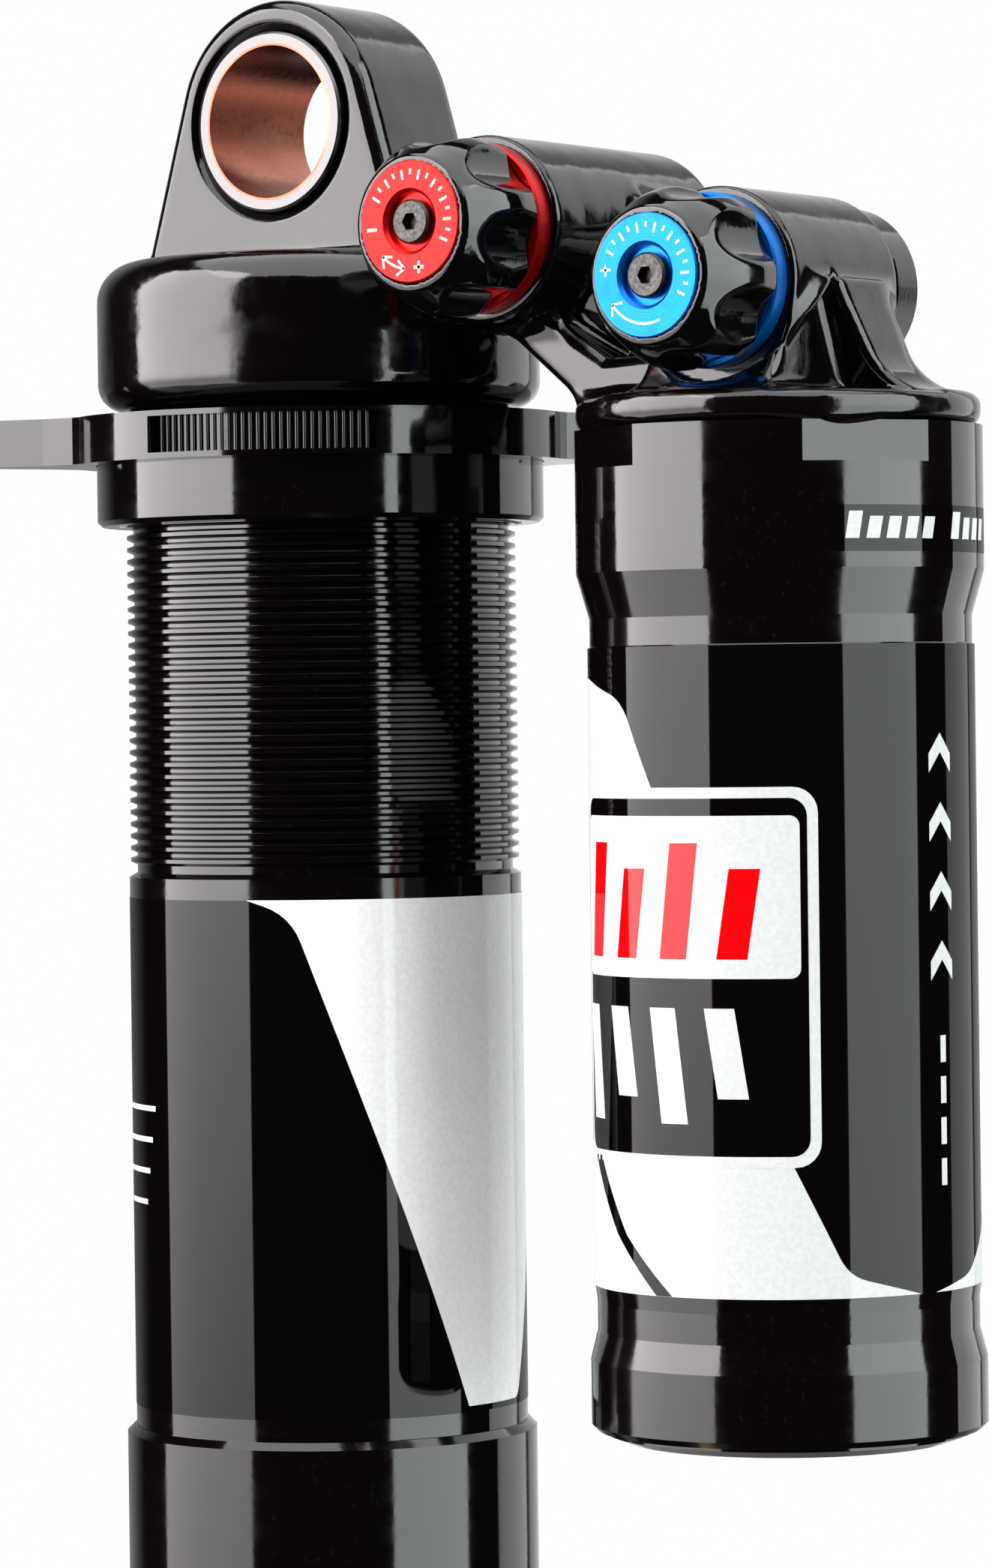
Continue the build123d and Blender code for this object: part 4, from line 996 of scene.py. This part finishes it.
def add_reservoir_film():
    """A black film round the reservoir with white fields, a framed badge and plain bars."""
    radius = WAIST_R + FILM
    low = RESERVOIR_FILM[0]
    black_sleeve("reservoir_film", RESERVOIR_X, radius, RESERVOIR_FILM)
    upper = [(-120.0, -52.5), (-80.0, -46.4), (-46.0, -46.9), (-20.5, -48.6), (-5.0, -57.0), (-120.0, -57.0)]
    lower = [(-120.0, -83.5), (33.4, -83.5), (51.6, -93.4), (76.0, low + HAIR), (-120.0, low + HAIR)]
    corner = [(82.0, low + HAIR), (101.0, -94.0), (150.0, -84.5), (160.0, low + HAIR)]
    fields = [
        softened(degrees_round(radius, upper), [0, 1.5, 1.5, 2.0, 0, 0]),
        softened(degrees_round(radius, lower), [0, 0, 1.6, 0, 0]),
        softened(degrees_round(radius, corner), [0, 1.0, 1.0, 0]),
    ]
    wrapped("reservoir_white_fields", fields, RESERVOIR_X, radius + LAYER, white_print)
    stripe = [(-43.0, -84.5), (-37.0, -84.5), (-21.0, -90.5), (-2.0, low + 2 * HAIR), (-8.0, low + 2 * HAIR),
              (-26.0, -90.5)]
    wrapped("reservoir_dark_stripe", [degrees_round(radius, stripe)], RESERVOIR_X, radius + 2 * LAYER,
            black_print)
    add_badge(radius)
    add_side_marks(radius)


def add_badge(radius):
    """A framed badge: a white upper panel with red bars over a black lower panel with white bars."""
    left, right = (distance_round(azimuth, radius) for azimuth in BADGE_SIDES)
    bottom, top = BADGE_ENDS
    frame_box = rounded_box(left, bottom, right, top, 2.0)
    wrapped("badge_frame", [frame_box], RESERVOIR_X, radius + 2 * LAYER, white_print)
    inner = rounded_box(left + BADGE_FRAME, bottom + BADGE_FRAME, right - BADGE_FRAME, top - BADGE_FRAME, 1.4)
    wrapped("badge_field", [inner], RESERVOIR_X, radius + 3 * LAYER, black_print)
    left, right = (distance_round(azimuth, radius) for azimuth in PANEL_SIDES)
    panel = rounded_box(left, PANEL_ENDS[0], right, PANEL_ENDS[1], 0.8)
    wrapped("badge_white_panel", [panel], RESERVOIR_X, radius + 4 * LAYER, white_print)
    start = distance_round(-43, radius)
    width, lean, pitch = 2.5, 1.1, 5.1
    red_foot, white_top = -68.8, -72.6
    red_bars = []
    white_bars = []
    for i, height in enumerate(BADGE_BAR_HEIGHTS):
        red_bars.append(slanted_bar(start + pitch * i, red_foot, width, height, lean))
        white_bars.append(slanted_bar(start + pitch * i, white_top - height, width, height, -lean))
    wrapped("badge_red_bars", red_bars, RESERVOIR_X, radius + 5 * LAYER, red_print)
    wrapped("badge_white_bars", white_bars, RESERVOIR_X, radius + 4 * LAYER, white_print)


def add_side_marks(radius):
    """A column of chevrons and a thin broken line down the outer side."""
    left = distance_round(81.5, radius)
    right = distance_round(92.0, radius)
    middle = (left + right) / 2
    top, thick, rise, pitch = -51.5, 1.5, 1.6, 5.4
    marks = []
    for i in range(4):
        peak = top - pitch * i
        marks.append([(left, peak - rise), (middle, peak), (right, peak - rise), (right, peak - rise - thick),
                      (middle, peak - thick), (left, peak - rise - thick)])
    dash, space, half_width, gap_above = 2.1, 1.1, 0.35, 2.0
    line_top = top - pitch * len(marks) - gap_above
    for i in range(4):
        foot = line_top - (dash + space) * i - dash
        marks.append(slanted_bar(middle - half_width, foot, 2 * half_width, dash, 0.0))
    wrapped("reservoir_side_marks", marks, RESERVOIR_X, radius + LAYER, white_print)


def add_clear_label():
    """The small label near the reservoir's top, with plain dashes."""
    radius = RESERVOIR_R + FILM
    left, right = (distance_round(azimuth, radius) for azimuth in LABEL_SIDES)
    label = rounded_box(left, LABEL_ENDS[0], right, LABEL_ENDS[1], 0.3)
    wrapped("reservoir_label", [label], RESERVOIR_X, radius, black_print)
    start = distance_round(52, radius)
    foot, width, height, tall, pitch, lean = -36.4, 1.15, 1.7, 2.1, 1.75, 0.35
    groups = (range(0, 5), range(6, 10))  # the space between the groups is one dash wide
    dashes = []
    for group in groups:
        for i in group:
            size = tall if i == group[0] else height
            dashes.append(slanted_bar(start + pitch * i, foot, width, size, lean))
    wrapped("reservoir_label_dashes", dashes, RESERVOIR_X, radius + LAYER, white_print)


def stroke(points, width):
    """A thin band along a run of points, as one outline."""
    path = [Vector(point) for point in points]
    left, right = [], []
    for i, point in enumerate(path):
        ahead = path[min(i + 1, len(path) - 1)] - path[max(i - 1, 0)]
        sideways = Vector((-ahead.y, ahead.x)).normalized() * (width / 2)
        left.append(tuple(point + sideways))
        right.append(tuple(point - sideways))
    return left + right[::-1]


def disc_print(side, outlines):
    """White marks on a knob's disc, lying in the plane of its face."""
    axis_x, axis_z, _ = middle_and_radius(f"{side}_knob_disc")
    face_y = span(f"{side}_knob_disc")[0][1] - DISC_FILM
    shape = bmesh.new()
    for outline in outlines:
        face = shape.faces.new([
            shape.verts.new(((axis_x + px) * MM, face_y * MM, (axis_z + pz) * MM)) for px, pz in outline
        ])
        face.normal_update()
        if face.normal.y > 0:
            face.normal_flip()
    bmesh.ops.triangulate(shape, faces=shape.faces)
    name = f"{side}_disc_print"
    new_object(name, finished(name, shape), f"{side}_adjuster", white_print)


DISC_MIDDLE = (0.0, 0.0)
TICKS = 15
TICK_START, TICK_PITCH = 150, 12.5  # degrees
TICK_END_R = 4.15
LONG_TICK_R, SHORT_TICK_R = 3.35, 3.7  # where the even and the odd ticks begin
TICK_WIDTH = 0.22
ARROW_R = 3.75
ARROW_WIDTH = 0.2
ARROW_HEAD = 0.95
SIGN_HALF = 0.5


def dial_ticks():
    """Long and short ticks by turns, round the upper half of a disc."""
    ticks = []
    for i in range(TICKS):
        angle = TICK_START - TICK_PITCH * i
        inner_r = LONG_TICK_R if i % 2 == 0 else SHORT_TICK_R
        ends = [polar(DISC_MIDDLE, inner_r, angle), polar(DISC_MIDDLE, TICK_END_R, angle)]
        ticks.append(stroke(ends, TICK_WIDTH))
    return ticks


def minus_sign(x, z, width):
    """A level stroke."""
    return [stroke([(x - SIGN_HALF, z), (x + SIGN_HALF, z)], width)]


def plus_sign(x, z, width):
    """Two crossed strokes."""
    return minus_sign(x, z, width) + [stroke([(x, z - SIGN_HALF), (x, z + SIGN_HALF)], width)]


def add_disc_prints():
    """Dial ticks and direction arrows on both discs, in place of words and pictures."""
    sweep = arc_points(DISC_MIDDLE, ARROW_R, 215, 292, 18)
    tip = Vector(sweep[0])
    head = [tip + Vector((ARROW_HEAD, 0.12)), tip, tip + Vector((-0.02, -ARROW_HEAD))]
    arrow = [stroke(sweep, ARROW_WIDTH), stroke(head, ARROW_WIDTH)]
    disc_print("compression", dial_ticks() + arrow + plus_sign(-3.7, 0.55, ARROW_WIDTH))
    first, last = 225, 262
    double = [stroke(arc_points(DISC_MIDDLE, ARROW_R, first, last, 10), ARROW_WIDTH)]
    for angle, turn in ((first, 1), (last, -1)):
        tip = Vector(polar(DISC_MIDDLE, ARROW_R, angle))
        for lean in (-40, 40):
            barb = Vector(polar(DISC_MIDDLE, 1.0, angle + 90 * turn + lean)) * ARROW_HEAD
            double.append(stroke([tip, tip + barb], ARROW_WIDTH))
    signs = minus_sign(-3.72, -0.5, 0.26) + plus_sign(0.9, -3.65, 0.26)
    disc_print("rebound", dial_ticks() + double + signs)


# ---------------------------------------------------------------- crests of the collar's knurl
WING_ANGLE = math.radians(38.2)
KNURL_START = math.radians(-131.0)  # from the first wing; the other knurl is half a turn on
KNURL_SWEEP = math.radians(53.0)
KNURL_SLOTS = 30  # with a ridge between each two
CREST_R = 0.17
CREST_REACH = 19.95  # of the crests' centres from the damper's axis
CREST_SEGMENTS = 14
LEDGE = 0.45  # above and below the knurl


def add_knurl_crests():
    """A rounded crest on every ridge of the knurl, so that each one catches the light."""
    collar_low, collar_high = span("preload_collar")
    height = collar_high[2] - collar_low[2] - 2 * LEDGE
    shape = bmesh.new()
    for half_turn in (0.0, math.pi):
        for ridge in range(KNURL_SLOTS - 1):
            angle = WING_ANGLE + KNURL_START + half_turn + KNURL_SWEEP * (ridge + 0.5) / (KNURL_SLOTS - 1)
            place = Vector((CREST_REACH * math.cos(angle), CREST_REACH * math.sin(angle),
                            (collar_low[2] + collar_high[2]) / 2)) * MM
            bmesh.ops.create_cone(
                shape, cap_ends=False, segments=CREST_SEGMENTS, depth=height * MM,
                radius1=CREST_R * MM, radius2=CREST_R * MM, matrix=Matrix.Translation(place))
    mesh = finished("knurl_crests", shape)
    mesh.polygons.foreach_set("use_smooth", [True] * len(mesh.polygons))
    new_object("knurl_crests", mesh, "preload_collar", SLOT_MATERIALS["black_anodised"])


# ---------------------------------------------------------------- everything in place
bpy.context.scene.view_settings.view_transform = "Standard"
paint_nodes()
add_camera()
add_world()
add_floor(floor_material())
add_softbox("left_softbox", azimuth=-39, elevation=5, distance=1.0, width=1.2, height=2.0, brightness=9.2,
            tint=(1.0, 0.96, 0.97), low_share=0.36)
add_softbox("right_softbox", azimuth=95, elevation=5, distance=1.0, width=0.9, height=2.0, brightness=6.0,
            tint=(0.95, 1.0, 1.0), low_share=0.8)
add_softbox("top_softbox", azimuth=20, elevation=75, distance=0.9, width=1.3, height=1.3, brightness=3.4)
add_softbox("back_right_softbox", azimuth=162, elevation=10, distance=1.1, width=0.63, height=2.0,
            brightness=1.6)
add_softbox("back_left_softbox", azimuth=200, elevation=20, distance=1.1, width=0.8, height=1.6,
            brightness=0.5)
add_casting()
add_knobs()
add_knurl_crests()
add_body_film()
add_reservoir_film()
add_clear_label()
add_disc_prints()
